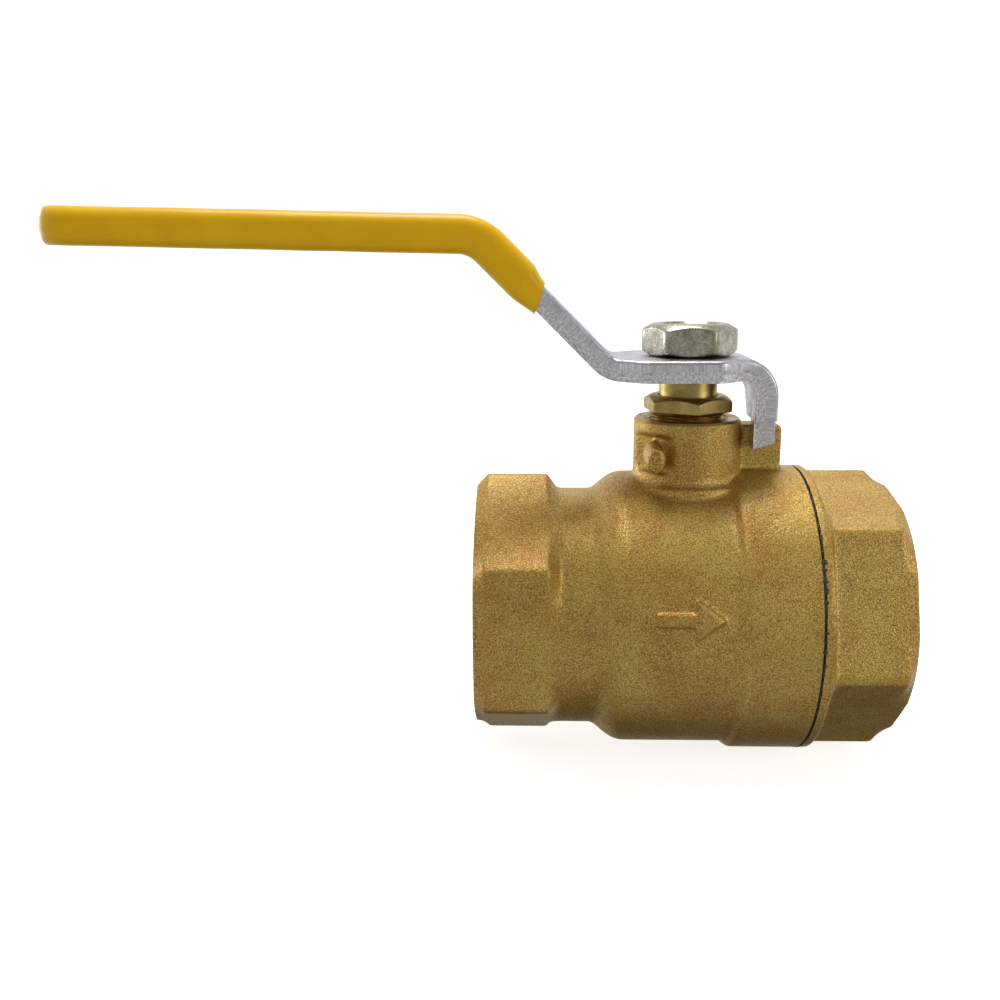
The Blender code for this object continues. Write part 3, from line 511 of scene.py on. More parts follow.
# %% [markdown]
# ## The body
#
# The body is one forging. A die leaves every edge soft and every inside corner filled, which plain
# joined shapes don't have. So the body is made as the workshop makes it. First its shapes are piled up:
# the hexagon, neck-down, drum and collar as one skin about the pipe axis, then the stem's neck, the stop
# lug, the stop pin and a raised flow arrow. They are fused into one fine skin of small squares, which is
# smoothed a little, so the edges and corners come out soft. Only then is it machined, which gives the
# crisp faces and bores.

# %% The forge
TRIO = (BLASTED, PORT_BRASS, STEM_BRASS)  # the finishes of a forging, of its bores and of its neck
AS_FORGED, ROUND_PIPE, ROUND_STEM = range(3)


def forge(name, shapes, cell=0.42, passes=9):
    """Fuses overlapping shapes into one skin and softens it."""
    work = bmesh.new()
    for shape in shapes:
        work.from_mesh(shape.data)
        bpy.data.objects.remove(shape, do_unlink=True)
    mesh = bpy.data.meshes.new(name)
    work.to_mesh(mesh)
    work.free()
    obj = bpy.data.objects.new(name, mesh)
    bpy.context.scene.collection.objects.link(obj)
    fuse = obj.modifiers.new("fuse", "REMESH")
    fuse.mode = "VOXEL"
    fuse.voxel_size = cell * MM
    soften = obj.modifiers.new("soften", "SMOOTH")
    soften.factor = 0.5
    soften.iterations = passes
    settle(obj)
    obj.data.materials.clear()
    for material in TRIO:
        obj.data.materials.append(material)
    obj.data.polygons.foreach_set("material_index", [AS_FORGED] * len(obj.data.polygons))
    print(f"{name}: forged with {len(obj.data.polygons)} faces")
    return obj


# %% Pile up the body's shapes
HEX_LENGTH, HEX_CHAMFER, RUN_OUT, HEX_LAND = 18.5, 2.4, 2.6, 0.7
SPARE = 1.5  # forged past each face that is machined away later
GROOVE = 0.32
CONE_START = -(seat_high.x + GAP)
CONE_LENGTH = 6.6
CONE_CURVE = ((0.2, 0.22), (0.4, 0.52), (0.7, 0.86))  # shares of its length and of its rise
DRUM = reach("body", X, CONE_START + CONE_LENGTH)
HEX_END = BODY_FACE + HEX_LENGTH
COLLAR_START, COLLAR_RAMP = seat_low.x - 3.4, 1.6
CORNER = BODY_FLATS / COS_30

body_line = [
    (BODY_FACE - SPARE, BODY_FLATS + HEX_LAND - SPARE * 0.7, BODY_FLATS),
    (BODY_FACE + HEX_CHAMFER, CORNER, BODY_FLATS),
    (HEX_END - RUN_OUT, CORNER, BODY_FLATS),
    (HEX_END, BODY_FLATS, None),
    (CONE_START, BODY_FLATS, None),
    *[(CONE_START + CONE_LENGTH * u, BODY_FLATS + (DRUM - BODY_FLATS) * v, None) for u, v in CONE_CURVE],
    (CONE_START + CONE_LENGTH, DRUM, None),
    (COLLAR_START - COLLAR_RAMP, DRUM, None),
    (COLLAR_START, COLLAR, None),
    (JOINT_FACE + SPARE, COLLAR, None),
]
drum_shape = make_object("drum_shape", *skin([pipe_ring(*place) for place in body_line]), TRIO)

NECK = reach("body", Z, NECK_TOP - 0.6, 0.05)
FLARE, FLARE_SINK, FLARE_STEPS = 1.9, 1.2, 8
NECK_ROOT = DRUM - 4.0
neck_outline = [(0.0, NECK_TOP + SPARE), (NECK, NECK_TOP + SPARE)]
for step in range(FLARE_STEPS + 1):
    lean = math.radians(90 * step / FLARE_STEPS)
    out, up = FLARE * (1 - math.cos(lean)), FLARE * (1 - math.sin(lean))
    neck_outline.append((NECK + out, DRUM - FLARE_SINK + up))
neck_outline += [(NECK + FLARE, NECK_ROOT), (0.0, NECK_ROOT)]
neck_shape = turned_about_z("neck_shape", neck_outline, TRIO)
print(f"drum {2 * DRUM:.1f} mm, neck {2 * NECK:.1f} mm")

# %% [markdown]
# The stem's neck has a shallow flat pocket on its left, round the foot of the stop pin, under a rim that
# keeps the full width. The lug on the right holds the lever when the valve is open, and the pin holds it
# when the valve is shut. The arrow is a plain sign of which way the pipe runs.

# %% The neck's pocket, the lug, the stop pin and the flow arrow
POCKET_BOTTOM, POCKET_HEIGHT, POCKET_DEPTH = DRUM + 1.6, 8.2, 1.6
POCKET_ANGLE = math.radians(-140.0)
near, far = NECK - POCKET_DEPTH, NECK + 5.0
corners = [(near, -NECK), (far, -NECK), (far, NECK), (near, NECK)]
turn = Matrix.Rotation(POCKET_ANGLE, 3, "Z")
heights = (POCKET_BOTTOM, POCKET_BOTTOM + POCKET_HEIGHT)
pocket = [[turn @ Vector((u, v, z)) for u, v in corners] for z in heights]
cut(neck_shape, make_object("pocket_shape", *skin(pocket), TRIO))

lever_low, lever_high = ends_of("lever")
LUG_INNER, LUG_OUTER = NECK - 2.0, lever_high.x + 2.5
LUG_BOTTOM, LUG_TOP = COLLAR - 2.0, NECK_TOP - 1.6
LUG_FRONT, LUG_BACK, LUG_CORNER = -1.9, 5.3, 1.2
corners = [(LUG_INNER, LUG_BOTTOM), (LUG_OUTER, LUG_BOTTOM), (LUG_OUTER, LUG_TOP), (LUG_INNER, LUG_TOP)]
lug_outline = rounded(corners, [0.0, 0.0, LUG_CORNER, 0.0])
lug = [[(x, y, z) for x, z in lug_outline] for y in (LUG_FRONT, LUG_BACK)]
lug_shape = make_object("lug_shape", *skin(lug), TRIO)

PIN_X, PIN_Z, PIN_HALF_WIDTH, PIN_HALF_HEIGHT = -8.35, lever_low.z - 1.6, 1.9, 2.8
PIN_END = -(lever_high.x - PLATE + 2.55)
PIN_STEPS = 32
pin_rings = []
for y, size in ((-7.0, 1.1), (-NECK + 2.0, 1.05), (PIN_END + 0.4, 1.0), (PIN_END, 0.92)):
    wide, high = size * PIN_HALF_WIDTH, size * PIN_HALF_HEIGHT
    spins = [math.tau * i / PIN_STEPS for i in range(PIN_STEPS)]
    pin_rings.append([(PIN_X + wide * math.cos(a), y, PIN_Z + high * math.sin(a)) for a in spins])
pin_shape = make_object("pin_shape", *skin(pin_rings), TRIO)

ARROW_MIDDLE_X, ARROW_TURN, ARROW_RAISED = -2.0, 12.0, 1.2
ARROW_LENGTH, ARROW_HEAD, ARROW_HALF_HEAD, ARROW_HALF_SHAFT = 14.0, 6.0, 4.3, 1.35
tail, barbs, point = -ARROW_LENGTH / 2, ARROW_LENGTH / 2 - ARROW_HEAD, ARROW_LENGTH / 2
half = [(tail, ARROW_HALF_SHAFT), (barbs, ARROW_HALF_SHAFT), (barbs, ARROW_HALF_HEAD), (point, 0.0)]
arrow_outline = half + [(x, -v) for x, v in reversed(half[:-1])]
tilt = Matrix.Rotation(math.radians(-ARROW_TURN), 3, "X")
arrow_rings = [
    [tilt @ Vector((ARROW_MIDDLE_X + x, y, v)) for x, v in arrow_outline] for y in (-DRUM + 2.0, -DRUM - 4.0)
]
arrow_shape = make_object("arrow_shape", *skin(arrow_rings), TRIO)
half_arrow = ARROW_LENGTH / 2 + 1.0
sleeve = [pipe_ring(ARROW_MIDDLE_X + side * half_arrow, DRUM + ARROW_RAISED) for side in (-1, 1)]
cut(arrow_shape, make_object("arrow_limit", *skin(sleeve), TRIO), "INTERSECT")
print("arrow raised", ARROW_RAISED, "mm; pin reaches", round(PIN_END, 2))

# %% Forge the body
body = forge("body_forging", [drum_shape, neck_shape, lug_shape, pin_shape, arrow_shape])

# %% [markdown]
# ### Machining the body
#
# The forging is faced off at the port, at the joint with the cap and on top of the neck. Then it is
# bored along the pipe: chamfered mouth, pipe thread, a step for the seat, the ball's room and the joint.
# Last it is bored down the neck. A cutter's faces hand their finish on to the cut, so every machined
# face comes out in turned brass and the rest stays blasted.

# %% Face off the body


def lathe_tool(name, outline, axis):
    """A cutter spun round an axis: for X the outline is (place, radius), for Z it is (radius, place)."""
    if axis == X:
        spins = [math.tau * i / ROUND for i in range(ROUND)]
        rings = [[(x, -r * math.cos(a), r * math.sin(a)) for x, r in outline] for a in spins]
        points, faces = skin(rings, closed=True)
        return make_object(name, points, faces, TRIO, [ROUND_PIPE] * len(faces))
    return turned_about_z(name, outline, TRIO, ROUND_STEM)


CLEAR = 10.0  # how far a cutter runs past the metal
OUT = COLLAR + CLEAR
RIM_CHAMFER = 1.0
off_port = BODY_FACE - CLEAR
cut(body, lathe_tool("port_facing", [(off_port, 0), (off_port, OUT), (BODY_FACE, OUT), (BODY_FACE, 0)], X))
off_joint, groove_end = JOINT_FACE + CLEAR, JOINT_FACE - GROOVE - GAP
edge = [(off_joint, 0), (JOINT_FACE, 0), (JOINT_FACE, COLLAR - GROOVE)]
edge += [(groove_end, COLLAR + GAP), (groove_end, OUT), (off_joint, OUT)]
cut(body, lathe_tool("joint_facing", edge, X))
beside, rim_end = NECK + 8, NECK_TOP - RIM_CHAMFER
rim = [(0, NECK_TOP), (NECK - RIM_CHAMFER / 2, NECK_TOP), (NECK + RIM_CHAMFER / 2, rim_end)]
rim += [(beside, rim_end), (beside, NECK_TOP + CLEAR), (0, NECK_TOP + CLEAR)]
cut(body, lathe_tool("neck_facing", rim, Z))
print("faced off:", len(body.data.polygons), "faces")

# %% Bore the body
MOUTH = 1.6
PORT = reach("body", X, BODY_FACE + MOUTH)
BODY_STEP, CAP_STEP = 4.3, 3.6  # metal between each port's thread and its seat
PORT_DEPTH = CONE_START - BODY_STEP - BODY_FACE
PIPE_PITCH, PIPE_THREAD_DEPTH = 2.309, 1.45
SEAT_HOLE = reach("seat_ring_cap_side", X, seat_high.x, pick=min)
POCKET = seat_high.y + GAP
BALL = ends_of("ball")[1].y
CAVITY = BALL + 1.0
SHOULDER = NOSE - GAP
JOINT = reach("end_cap", X, NOSE + 3.0, 3.0) + GAP


def pipe_thread(face, depth, inward):
    """Rings of a tapped port from its mouth inwards. The radius is the larger of mouth and thread."""
    rings = []
    count = int(depth / (PIPE_PITCH / 10))
    for i in range(count + 1):
        along = depth * i / count
        fade = min(1.0, (depth - along) / (PIPE_PITCH * 1.5))
        ring = []
        for step in range(FINE):
            a = math.tau * step / FINE
            groove = PORT + PIPE_THREAD_DEPTH * fade * thread_depth(along, a * inward, PIPE_PITCH)
            here = max(groove, PORT + MOUTH + 0.4 - along)
            ring.append((face + inward * along, -here * math.cos(a), here * math.sin(a)))
        rings.append(ring)
    return rings


bore = [pipe_ring(BODY_FACE - 2.0, PORT + MOUTH + 2.4)] + pipe_thread(BODY_FACE, PORT_DEPTH, 1)
plain = [
    (BODY_FACE + PORT_DEPTH, SEAT_HOLE),
    (-seat_high.x - GAP, SEAT_HOLE),
    (-seat_high.x - GAP, POCKET),
    (-seat_low.x, POCKET),
    (-seat_low.x + CAVITY - POCKET, CAVITY),
    (SHOULDER, CAVITY),
    (SHOULDER, JOINT),
    (JOINT_FACE + 3.0, JOINT),
]
bore += [pipe_ring(x, radius) for x, radius in plain]
points, faces = skin(bore)
cut(body, make_object("pipe_bore", points, faces, TRIO, [ROUND_PIPE] * len(faces)))

STEM_SHOULDER = ends_of("stem_thrust_washer")[1].x
gland_low, gland_high = ends_of("gland_nut")
packing_low, packing_high = ends_of("packing_ring_lower")
WASHER_SEAT = ends_of("stem_thrust_washer")[1].z + GAP
CHAMBER, CHAMBER_FLOOR = packing_high.x + GAP, packing_low.z - GAP
stem_room = [
    (0, NECK_TOP + 3),
    (CHAMBER + 3.6, NECK_TOP + 3),
    (CHAMBER, NECK_TOP - 0.6),
    (CHAMBER, CHAMBER_FLOOR),
    (STEM + GAP, CHAMBER_FLOOR),
    (STEM + GAP, WASHER_SEAT),
    (STEM_SHOULDER + GAP, WASHER_SEAT),
    (STEM_SHOULDER + GAP, CAVITY / 2),
    (0, CAVITY / 2),
]
cut(body, lathe_tool("stem_bore", stem_room, Z))
shade(body)
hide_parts("body")
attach(body, "valve_body")
print("body:", len(body.data.polygons), "faces; port", round(2 * PORT, 1), "mm inside the crests")

# %% [markdown]
# ## The end cap
#
# The cap is a second, smaller forging: a round flange and a hexagon, turned a little past the body's
# because it is screwed in until it is tight, not until it lines up. Its spigot is all lathe work.

# %% Forge and machine the end cap
FLANGE = JOINT_FACE + GAP
FLANGE_END = FLANGE + 2.8
CAP_CORNER = CAP_FLATS / COS_30
cap_line = [
    (FLANGE - SPARE, COLLAR, None),
    (FLANGE_END - 0.9, COLLAR, None),
    (FLANGE_END, CAP_CORNER, CAP_FLATS),
    (CAP_FACE - HEX_CHAMFER, CAP_CORNER, CAP_FLATS),
    (CAP_FACE, CAP_FLATS + HEX_LAND, CAP_FLATS),
    (CAP_FACE + SPARE, CAP_FLATS - 0.3, CAP_FLATS - 0.5),
]
cap_shape = make_object("cap_shape", *skin([pipe_ring(*place, turn=CAP_TURN) for place in cap_line]), TRIO)
cap = forge("cap_forging", [cap_shape])
off_cap = CAP_FACE + CLEAR
cut(cap, lathe_tool("cap_facing", [(CAP_FACE, 0), (CAP_FACE, OUT), (off_cap, OUT), (off_cap, 0)], X))
edge = [(FLANGE - CLEAR, 0), (FLANGE, 0), (FLANGE, COLLAR - GROOVE + GAP)]
edge += [(FLANGE + GROOVE, COLLAR + GAP), (FLANGE + GROOVE, OUT), (FLANGE - CLEAR, OUT)]
cut(cap, lathe_tool("flange_facing", edge, X))
SPIGOT, SPIGOT_CORE, SPIGOT_CHAMFER = JOINT - GAP, 5.0, 0.6
spigot_end = FLANGE + 1.0
spigot = [(NOSE, SPIGOT_CORE), (NOSE, SPIGOT - SPIGOT_CHAMFER), (NOSE + SPIGOT_CHAMFER, SPIGOT)]
spigot += [(spigot_end, SPIGOT), (spigot_end, SPIGOT_CORE)]
cut(cap, lathe_tool("spigot", spigot, X), "UNION")
seat_back = seat_high.x + GAP
cap_bore = [pipe_ring(CAP_FACE + 2.0, PORT + MOUTH + 2.4)]
cap_bore += pipe_thread(CAP_FACE, CAP_FACE - seat_high.x - GAP - CAP_STEP, -1)
plain = [(seat_back + CAP_STEP, SEAT_HOLE), (seat_back, SEAT_HOLE), (seat_back, POCKET), (NOSE - 2.0, POCKET)]
cap_bore += [pipe_ring(x, radius) for x, radius in plain]
points, faces = skin(cap_bore)
cut(cap, make_object("cap_bore", points, faces, TRIO, [ROUND_PIPE] * len(faces)))
shade(cap)
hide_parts("end_cap")
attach(cap, "valve_body")
print("end cap:", len(cap.data.polygons), "faces")

# %% [markdown]
# ## The sealant
#
# Liquid sealant is brushed on the cap's thread and squeezed out when the cap is driven home. It cures
# as an uneven dark line in the groove of the joint. Most was squeezed out a little above the middle of
# the front, and some more near the bottom. A thin tube round the pipe axis, whose thickness and place
# wander with a few noises, gives that.

# %% Lay the sealant bead


def wander(angle, scale, seed):
    """A smooth random number from -1 to 1 that comes back to its start after a whole turn."""
    return noise.noise(Vector((scale * math.cos(angle), scale * math.sin(angle), seed)))


bead_rings = []
BEAD_STEPS, BEAD_SIDES = 900, 10
MOST_AT, MORE_AT = math.radians(18.0), math.radians(-82.0)  # upwards from the front
for step in range(BEAD_STEPS):
    a = math.tau * step / BEAD_STEPS
    squeezed = 0.75 * max(0.0, math.cos(a - MOST_AT)) ** 4
    squeezed += 0.5 * max(0.0, math.cos(a - MORE_AT)) ** 12
    broad = squeezed + 0.3 * max(0.0, wander(a, 1.6, 3.0))
    lumps = max(0.0, 0.45 + wander(a, 30.0, 7.0) + 0.8 * wander(a, 75.0, 11.0))
    wide = 0.05 + 0.75 * broad * lumps
    thick = 0.06 + 0.30 * broad * lumps
    middle = JOINT_FACE + GAP / 2 + 0.22 * wander(a, 9.0, 5.0) + 0.15 * wander(a, 36.0, 13.0)
    ring = []
    for corner in range(BEAD_SIDES):
        c = math.tau * corner / BEAD_SIDES
        r = min(COLLAR + 0.08, COLLAR - 0.30 + 0.4 * broad * lumps + thick * math.sin(c))
        ring.append((middle + wide * math.cos(c), -r * math.cos(a), r * math.sin(a)))
    bead_rings.append(ring)
bead = shade(make_object("sealant_bead", *skin(bead_rings, closed=True), [SEALANT]), 70)
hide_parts("thread_sealant_bead")
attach(bead, "valve_body")
print("bead:", len(bead.data.polygons), "faces")

# %% [markdown]
# ## Ball and seats
#
# The ball is a sphere of brass, bored through and plated, with a slot across its top for the stem. It
# is seen only through the ports, so it is a plain turned skin with rounded edges at the bore, and the
# slot is milled out of it. Each seat is a plastic ring with a cone that the ball presses on.

# %% Turn the ball and the seats
BORE = reach("ball", X, ends_of("ball")[1].x, pick=min)
EDGE = 0.5
start = math.acos((BORE + EDGE) / BALL)
BALL_STEPS = 64
ball_rings = []
for step in range(BALL_STEPS + 1):
    a = -start + 2 * start * step / BALL_STEPS
    ball_rings.append(pipe_ring(BALL * math.sin(a), BALL * math.cos(a)))
flat_x = BALL * math.sin(start)
ball_rings += [pipe_ring(flat_x + 0.12, BORE + EDGE * 0.35), pipe_ring(flat_x - 0.1, BORE)]
ball_rings += [pipe_ring(-flat_x + 0.1, BORE), pipe_ring(-flat_x - 0.12, BORE + EDGE * 0.35)]
ball = make_object("ball_turned", *skin(ball_rings, closed=True), [CHROME])
SLOT, SLOT_FLOOR = 3.2, ends_of("stem")[0].z - GAP
slot_outline = rounded(
    [(-SLOT, BALL + 2), (-SLOT, SLOT_FLOOR), (SLOT, SLOT_FLOOR), (SLOT, BALL + 2)], [0.1, 0.8, 0.8, 0.1]
)
slot = [[(x, y, z) for x, z in slot_outline] for y in (-BALL, BALL)]
cut(ball, make_object("slot_tool", *skin(slot), [CHROME]))
shade(ball)
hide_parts("ball")
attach(ball, "ball")

outer, inner, SEAT_LIP = seat_high.y, SEAT_HOLE, 0.9
cone_end = math.sqrt((BALL + GAP) ** 2 - inner**2) - 0.35
corners = [(cone_end, inner), (seat_low.x, outer - SEAT_LIP), (seat_low.x, outer)]
corners += [(seat_high.x, outer), (seat_high.x, inner)]
seat_outline = rounded(corners, [0.25, 0.2, 0.3, 0.4, 0.3])
for side, node in ((-1, "seat_ring_body_side"), (1, "seat_ring_cap_side")):
    rings = [pipe_ring(side * x, r) for x, r in seat_outline]
    seat = make_object(f"{node}_turned", *skin(rings, closed=True), [SEAT_PLASTIC])
    shade(seat, 50)
    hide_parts(node)
    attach(seat, "valve_body")
for node in ("stem_thrust_washer", "packing_ring_lower", "packing_ring_upper"):
    frame["nodes"][node].data.materials[0] = SEAT_PLASTIC
print("ball", round(2 * BALL, 1), "mm with a", round(2 * BORE, 1), "mm bore")

# %% [markdown]
# ## Stem, gland nut and handle nut
#
# A nut is a hexagon whose corners are turned off by a cone. Where the cone meets each flat it leaves a
# curved line, which is the first thing one sees of a nut. Here each spoke of the nut is one outline of
# (radius, height), and its corner is as far out as the hexagon is there, so the curved lines come out
# by themselves. Outside threads are made in the same way, spoke by spoke.

# %% Helpers for nuts and screws


def nut_spokes(
    flats, bottom, top, turn, bore, low_cone, high_cone, soft=0.35, corner_round=0.9, tangent=0.58, per_side=24
):
    """Closed outlines round the stem axis. Each cone is how far inside the flats it starts, or None."""
    spokes = []
    for i in range(6 * per_side):
        angle = 60.0 * i / per_side
        far = hexagon(angle, flats, corner_round)
        corners, radii = [(bore, bottom)], [0.0]
        for z, into, cone in ((bottom, 1, low_cone), (top, -1, high_cone)):
            if cone is None:
                pair = [(far, z)]
            else:
                pair = [(flats - cone, z), (far, z + into * (far - flats + cone) * tangent)]
            corners += pair if into == 1 else pair[::-1]
            radii += [soft] * len(pair)
        corners.append((bore, top))
        radii.append(0.0)
        spokes.append(stem_ring(rounded(corners, radii, 5), math.radians(angle + turn)))
    return spokes


def screw(name, radius, depth, pitch, bottom, top, materials, chamfer, face_material=0):
    """A threaded rod about the stem axis."""
    rings = []
    count = max(8, int((top - bottom) / (pitch / 9)))
    for i in range(count + 1):
        z = bottom + (top - bottom) * i / count
        ring = []
        for step in range(ROUND):
            a = math.tau * step / ROUND
            r = radius - depth * (1 - thread_depth(z, a, pitch))
            r = min(r, radius - chamfer + max(0.0, top - z))
            ring.append((r * math.cos(a), r * math.sin(a), z))
        rings.append(ring)
    points, faces = skin(rings)
    return make_object(name, points, faces, materials, [face_material] * len(faces))


# %% [markdown]
# The gland nut presses the packing down. Only its thin hexagon and two turns of its thread show above
# the neck. It is brass, turned from hexagon bar, so it is smoother than the body. The thread is rougher,
# and its darker colour is painted shade under the hexagon.

# %% Make the gland nut
GLAND_TURN, GLAND_HEX, GLAND_CONE = 6.0, 3.5, 0.8
GLAND_THREAD_DEPTH, GLAND_PITCH, GLAND_CHAMFER = 0.65, 1.25, 0.5
GLAND_FINISHES, THREAD_FACES = [STEM_BRASS, THREAD_BRASS_PAINTED_SHADE], 1
SHANK, GLAND_HOLE = packing_high.x, STEM + GAP
GLAND_CORNER = gland_high.y / math.cos(math.radians(GLAND_TURN))
GLAND_FLATS = GLAND_CORNER * COS_30
gland_flange = gland_high.z - GLAND_HEX
spokes = nut_spokes(GLAND_FLATS, gland_flange, gland_high.z, GLAND_TURN - 90, GLAND_HOLE, None, GLAND_CONE)
gland = make_object("gland_turned", *skin(spokes, closed=True), GLAND_FINISHES)
shank = screw(
    "gland_thread", SHANK, GLAND_THREAD_DEPTH, GLAND_PITCH, gland_low.z, gland_flange + 0.4,
    GLAND_FINISHES, GLAND_CHAMFER, THREAD_FACES,
)
low, high = gland_low.z - 1, gland_flange + 1
passage = [(0, low), (GLAND_HOLE, low), (GLAND_HOLE, high), (0, high)]
cut(shank, turned_about_z("gland_passage", passage, GLAND_FINISHES, THREAD_FACES))
cut(gland, shank, "UNION")
shade(gland)
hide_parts("gland_nut")
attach(gland, "valve_body")
print("gland nut", round(2 * GLAND_FLATS, 1), "mm across flats")

# %% [markdown]
# The stem comes up through the gland nut as a smooth rod. Above it, two flats carry the lever, so that
# the lever can't slip round, and a thread carries the nut. Its lower end has a shoulder, which keeps it
# from being blown out, and a tang that sits in the ball's slot.

# %% Turn the stem
stem_low, stem_high = ends_of("stem")
THREAD = reach("stem", Z, stem_high.z - 0.6)
STEM_THREAD_DEPTH, NUT_THREAD_DEPTH, STEM_PITCH, STEM_CHAMFER = 0.6, 0.62, 1.5, 0.9
SHOULDER_FOOT = BALL + 2 * GAP
SHOULDER_TOP = SHOULDER_FOOT + 2.9
stem_outline = rounded(
    [
        (0, STEM_SEAT),
        (STEM, STEM_SEAT),
        (STEM, SHOULDER_TOP),
        (STEM_SHOULDER, SHOULDER_TOP),
        (STEM_SHOULDER, SHOULDER_FOOT),
        (STEM, SHOULDER_FOOT),
        (STEM, stem_low.z),
        (0, stem_low.z),
    ],
    [0, 0.3, 0.3, 0.3, 0.3, 0.2, 0.3, 0],
)
stem = turned_about_z("stem_turned", stem_outline, [STEM_BRASS])
thread = screw(
    "stem_thread", THREAD, STEM_THREAD_DEPTH, STEM_PITCH, STEM_SEAT - 1, stem_high.z, [STEM_BRASS], STEM_CHAMFER
)
cut(stem, thread, "UNION")


def two_blocks(name, near, bottom, top, across):
    """Blocks on both sides of the stem that leave a flat on each, square to X or Y."""
    far = 20
    points, faces = [], []
    for side in (-1, 1):
        square = [(side * near, -far), (side * far, -far), (side * far, far), (side * near, far)]
        if across == Y:
            square = [(v, u) for u, v in square]
        block, sides = skin([[(x, y, z) for x, y in square] for z in (bottom, top)])
        faces += [tuple(i + len(points) for i in face) for face in sides]
        points += block
    return make_object(name, points, faces, [STEM_BRASS])


STEM_FLAT, TANG_HALF_LENGTH = 4.4, 5.6
cut(stem, two_blocks("stem_flats", STEM_FLAT, STEM_SEAT, stem_high.z + 2, Y))
cut(stem, two_blocks("tang_sides", SLOT - GAP, stem_low.z - 2, SHOULDER_FOOT, X))
cut(stem, two_blocks("tang_ends", TANG_HALF_LENGTH, stem_low.z - 2, SHOULDER_FOOT, Y))
shade(stem)
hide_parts("stem")
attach(stem, "lever_assembly")
print("stem", round(2 * STEM, 1), "mm, thread", round(2 * THREAD, 1), "mm")

# %% [markdown]
# The handle nut is steel, zinc plated with a slightly yellow passivation. Both its faces are coned, the
# upper one more, its corners are well worn, and the top of its hole shows the end of the stem.

# %% Make the handle nut
NUT_TURN = 5.5
NUT_FLATS = nut_high.x / math.cos(math.radians(NUT_TURN)) * COS_30
spokes = nut_spokes(
    NUT_FLATS, nut_low.z, nut_high.z, -NUT_TURN, THREAD - 0.45, low_cone=0.3, high_cone=1.0, soft=0.8, corner_round=1.9
)
handle_nut = make_object("handle_nut_forged", *skin(spokes, closed=True), [NUT_ZINC])
low, high = nut_low.z - 1, nut_high.z + 1
cut(handle_nut, screw("nut_thread", THREAD + 0.12, NUT_THREAD_DEPTH, STEM_PITCH, low, high, [NUT_ZINC], 0.0))
sink_end = nut_high.z - 1.4
sink = [(0, high), (THREAD + 2.0, high), (THREAD - 0.8, sink_end), (0, sink_end)]
cut(handle_nut, turned_about_z("countersink", sink, [NUT_ZINC]))
shade(handle_nut)
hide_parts("handle_nut")
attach(handle_nut, "lever_assembly")
print("handle nut", round(2 * NUT_FLATS, 1), "mm across flats")

# %% [markdown]
# ## The lever
#
# The lever is a strip of plate, blanked with a punch and bent three times: up towards the grip, level
# again under the grip, and down at the other end into the tab that meets the stops. Its middle line is
# straight runs and arcs. A section is laid across that line every half millimetre or so.

# %% The lever's middle line
SLOPE, RISER = 1.5, 45.0
BENDS = (10.0, 6.0, 6.0)
LOWER_BEND = 18.0
TAB_X = lever_high.x - PLATE / 2
plate_middle = PLATE_BOTTOM + PLATE / 2
TIP_X = round(lever_low.x)
RISE = 28.35
upper_bend = Vector((-(LOWER_BEND + RISE / math.tan(math.radians(RISER))), plate_middle + RISE))
tip_z = upper_bend.y + (upper_bend.x - TIP_X) * math.tan(math.radians(SLOPE))
line_corners = [
    Vector((TIP_X, tip_z)),
    upper_bend,
    Vector((-LOWER_BEND, plate_middle)),
    Vector((TAB_X, plate_middle)),
    Vector((TAB_X, lever_low.z)),
]


def bent_line(corners, radii, spacing):
    """Stations along a bent line: how far along, the point in X and Z, and the plate's way up."""
    stations, along, here = [], 0.0, corners[0]
    for i, corner in enumerate(corners[1:]):
        way = (corner - corners[i]).normalized()
        up = Vector((-way.y, way.x))
        after = (corners[i + 2] - corner).normalized() if i < len(radii) else way
        turn = math.atan2(way.x * after.y - way.y * after.x, way.dot(after))
        radius = radii[i] if i < len(radii) else 0.0
        setback = radius * math.tan(abs(turn) / 2)
        length = (corner - way * setback - here).length
        steps = max(1, round(length / spacing))
        stations += [(along + length * k / steps, here + way * (length * k / steps), up) for k in range(steps)]
        along += length
        here = corner - way * setback
        if turn:
            side = math.copysign(radius, turn)
            centre = here + up * side
            arc = radius * abs(turn)
            steps = max(6, round(arc / spacing))
            for k in range(steps):
                spun = Matrix.Rotation(turn * k / steps, 2) @ up
                stations.append((along + arc * k / steps, centre - spun * side, spun))
            along += arc
            here = corner + after * setback
    stations.append((along, corners[-1], up))
    return stations


lever_line = bent_line(line_corners, BENDS, 0.55)
LEVER_LENGTH = lever_line[-1][0]
print("lever is", round(LEVER_LENGTH, 1), "mm along its middle, in", len(lever_line), "sections")

# %% [markdown]
# The plate is narrow along the arm, widens round the stem, narrows again to the tab, and ends in a
# finger that hangs at one side, so that it passes the lug and the pin on the proper sides.

# %% How wide the plate is
ARM, HUB, TAB = 9.2, lever_high.y, 8.1
HUB_FLAT, HUB_TAPER, TAB_BEND = 9.5, 9.5, BENDS[2]
TIP_ROUND, TAB_BACK_TAPER, TAPER_LENGTH = 7.0, 5.1, 8.1
FINGER_LENGTH, FINGER_FRONT, FINGER_WIDTH = 5.7, 6.3, 4.2


def ease(value, start, end):
    t = min(1.0, max(0.0, (value - start) / (end - start)))
    return t * t * (3 - 2 * t)


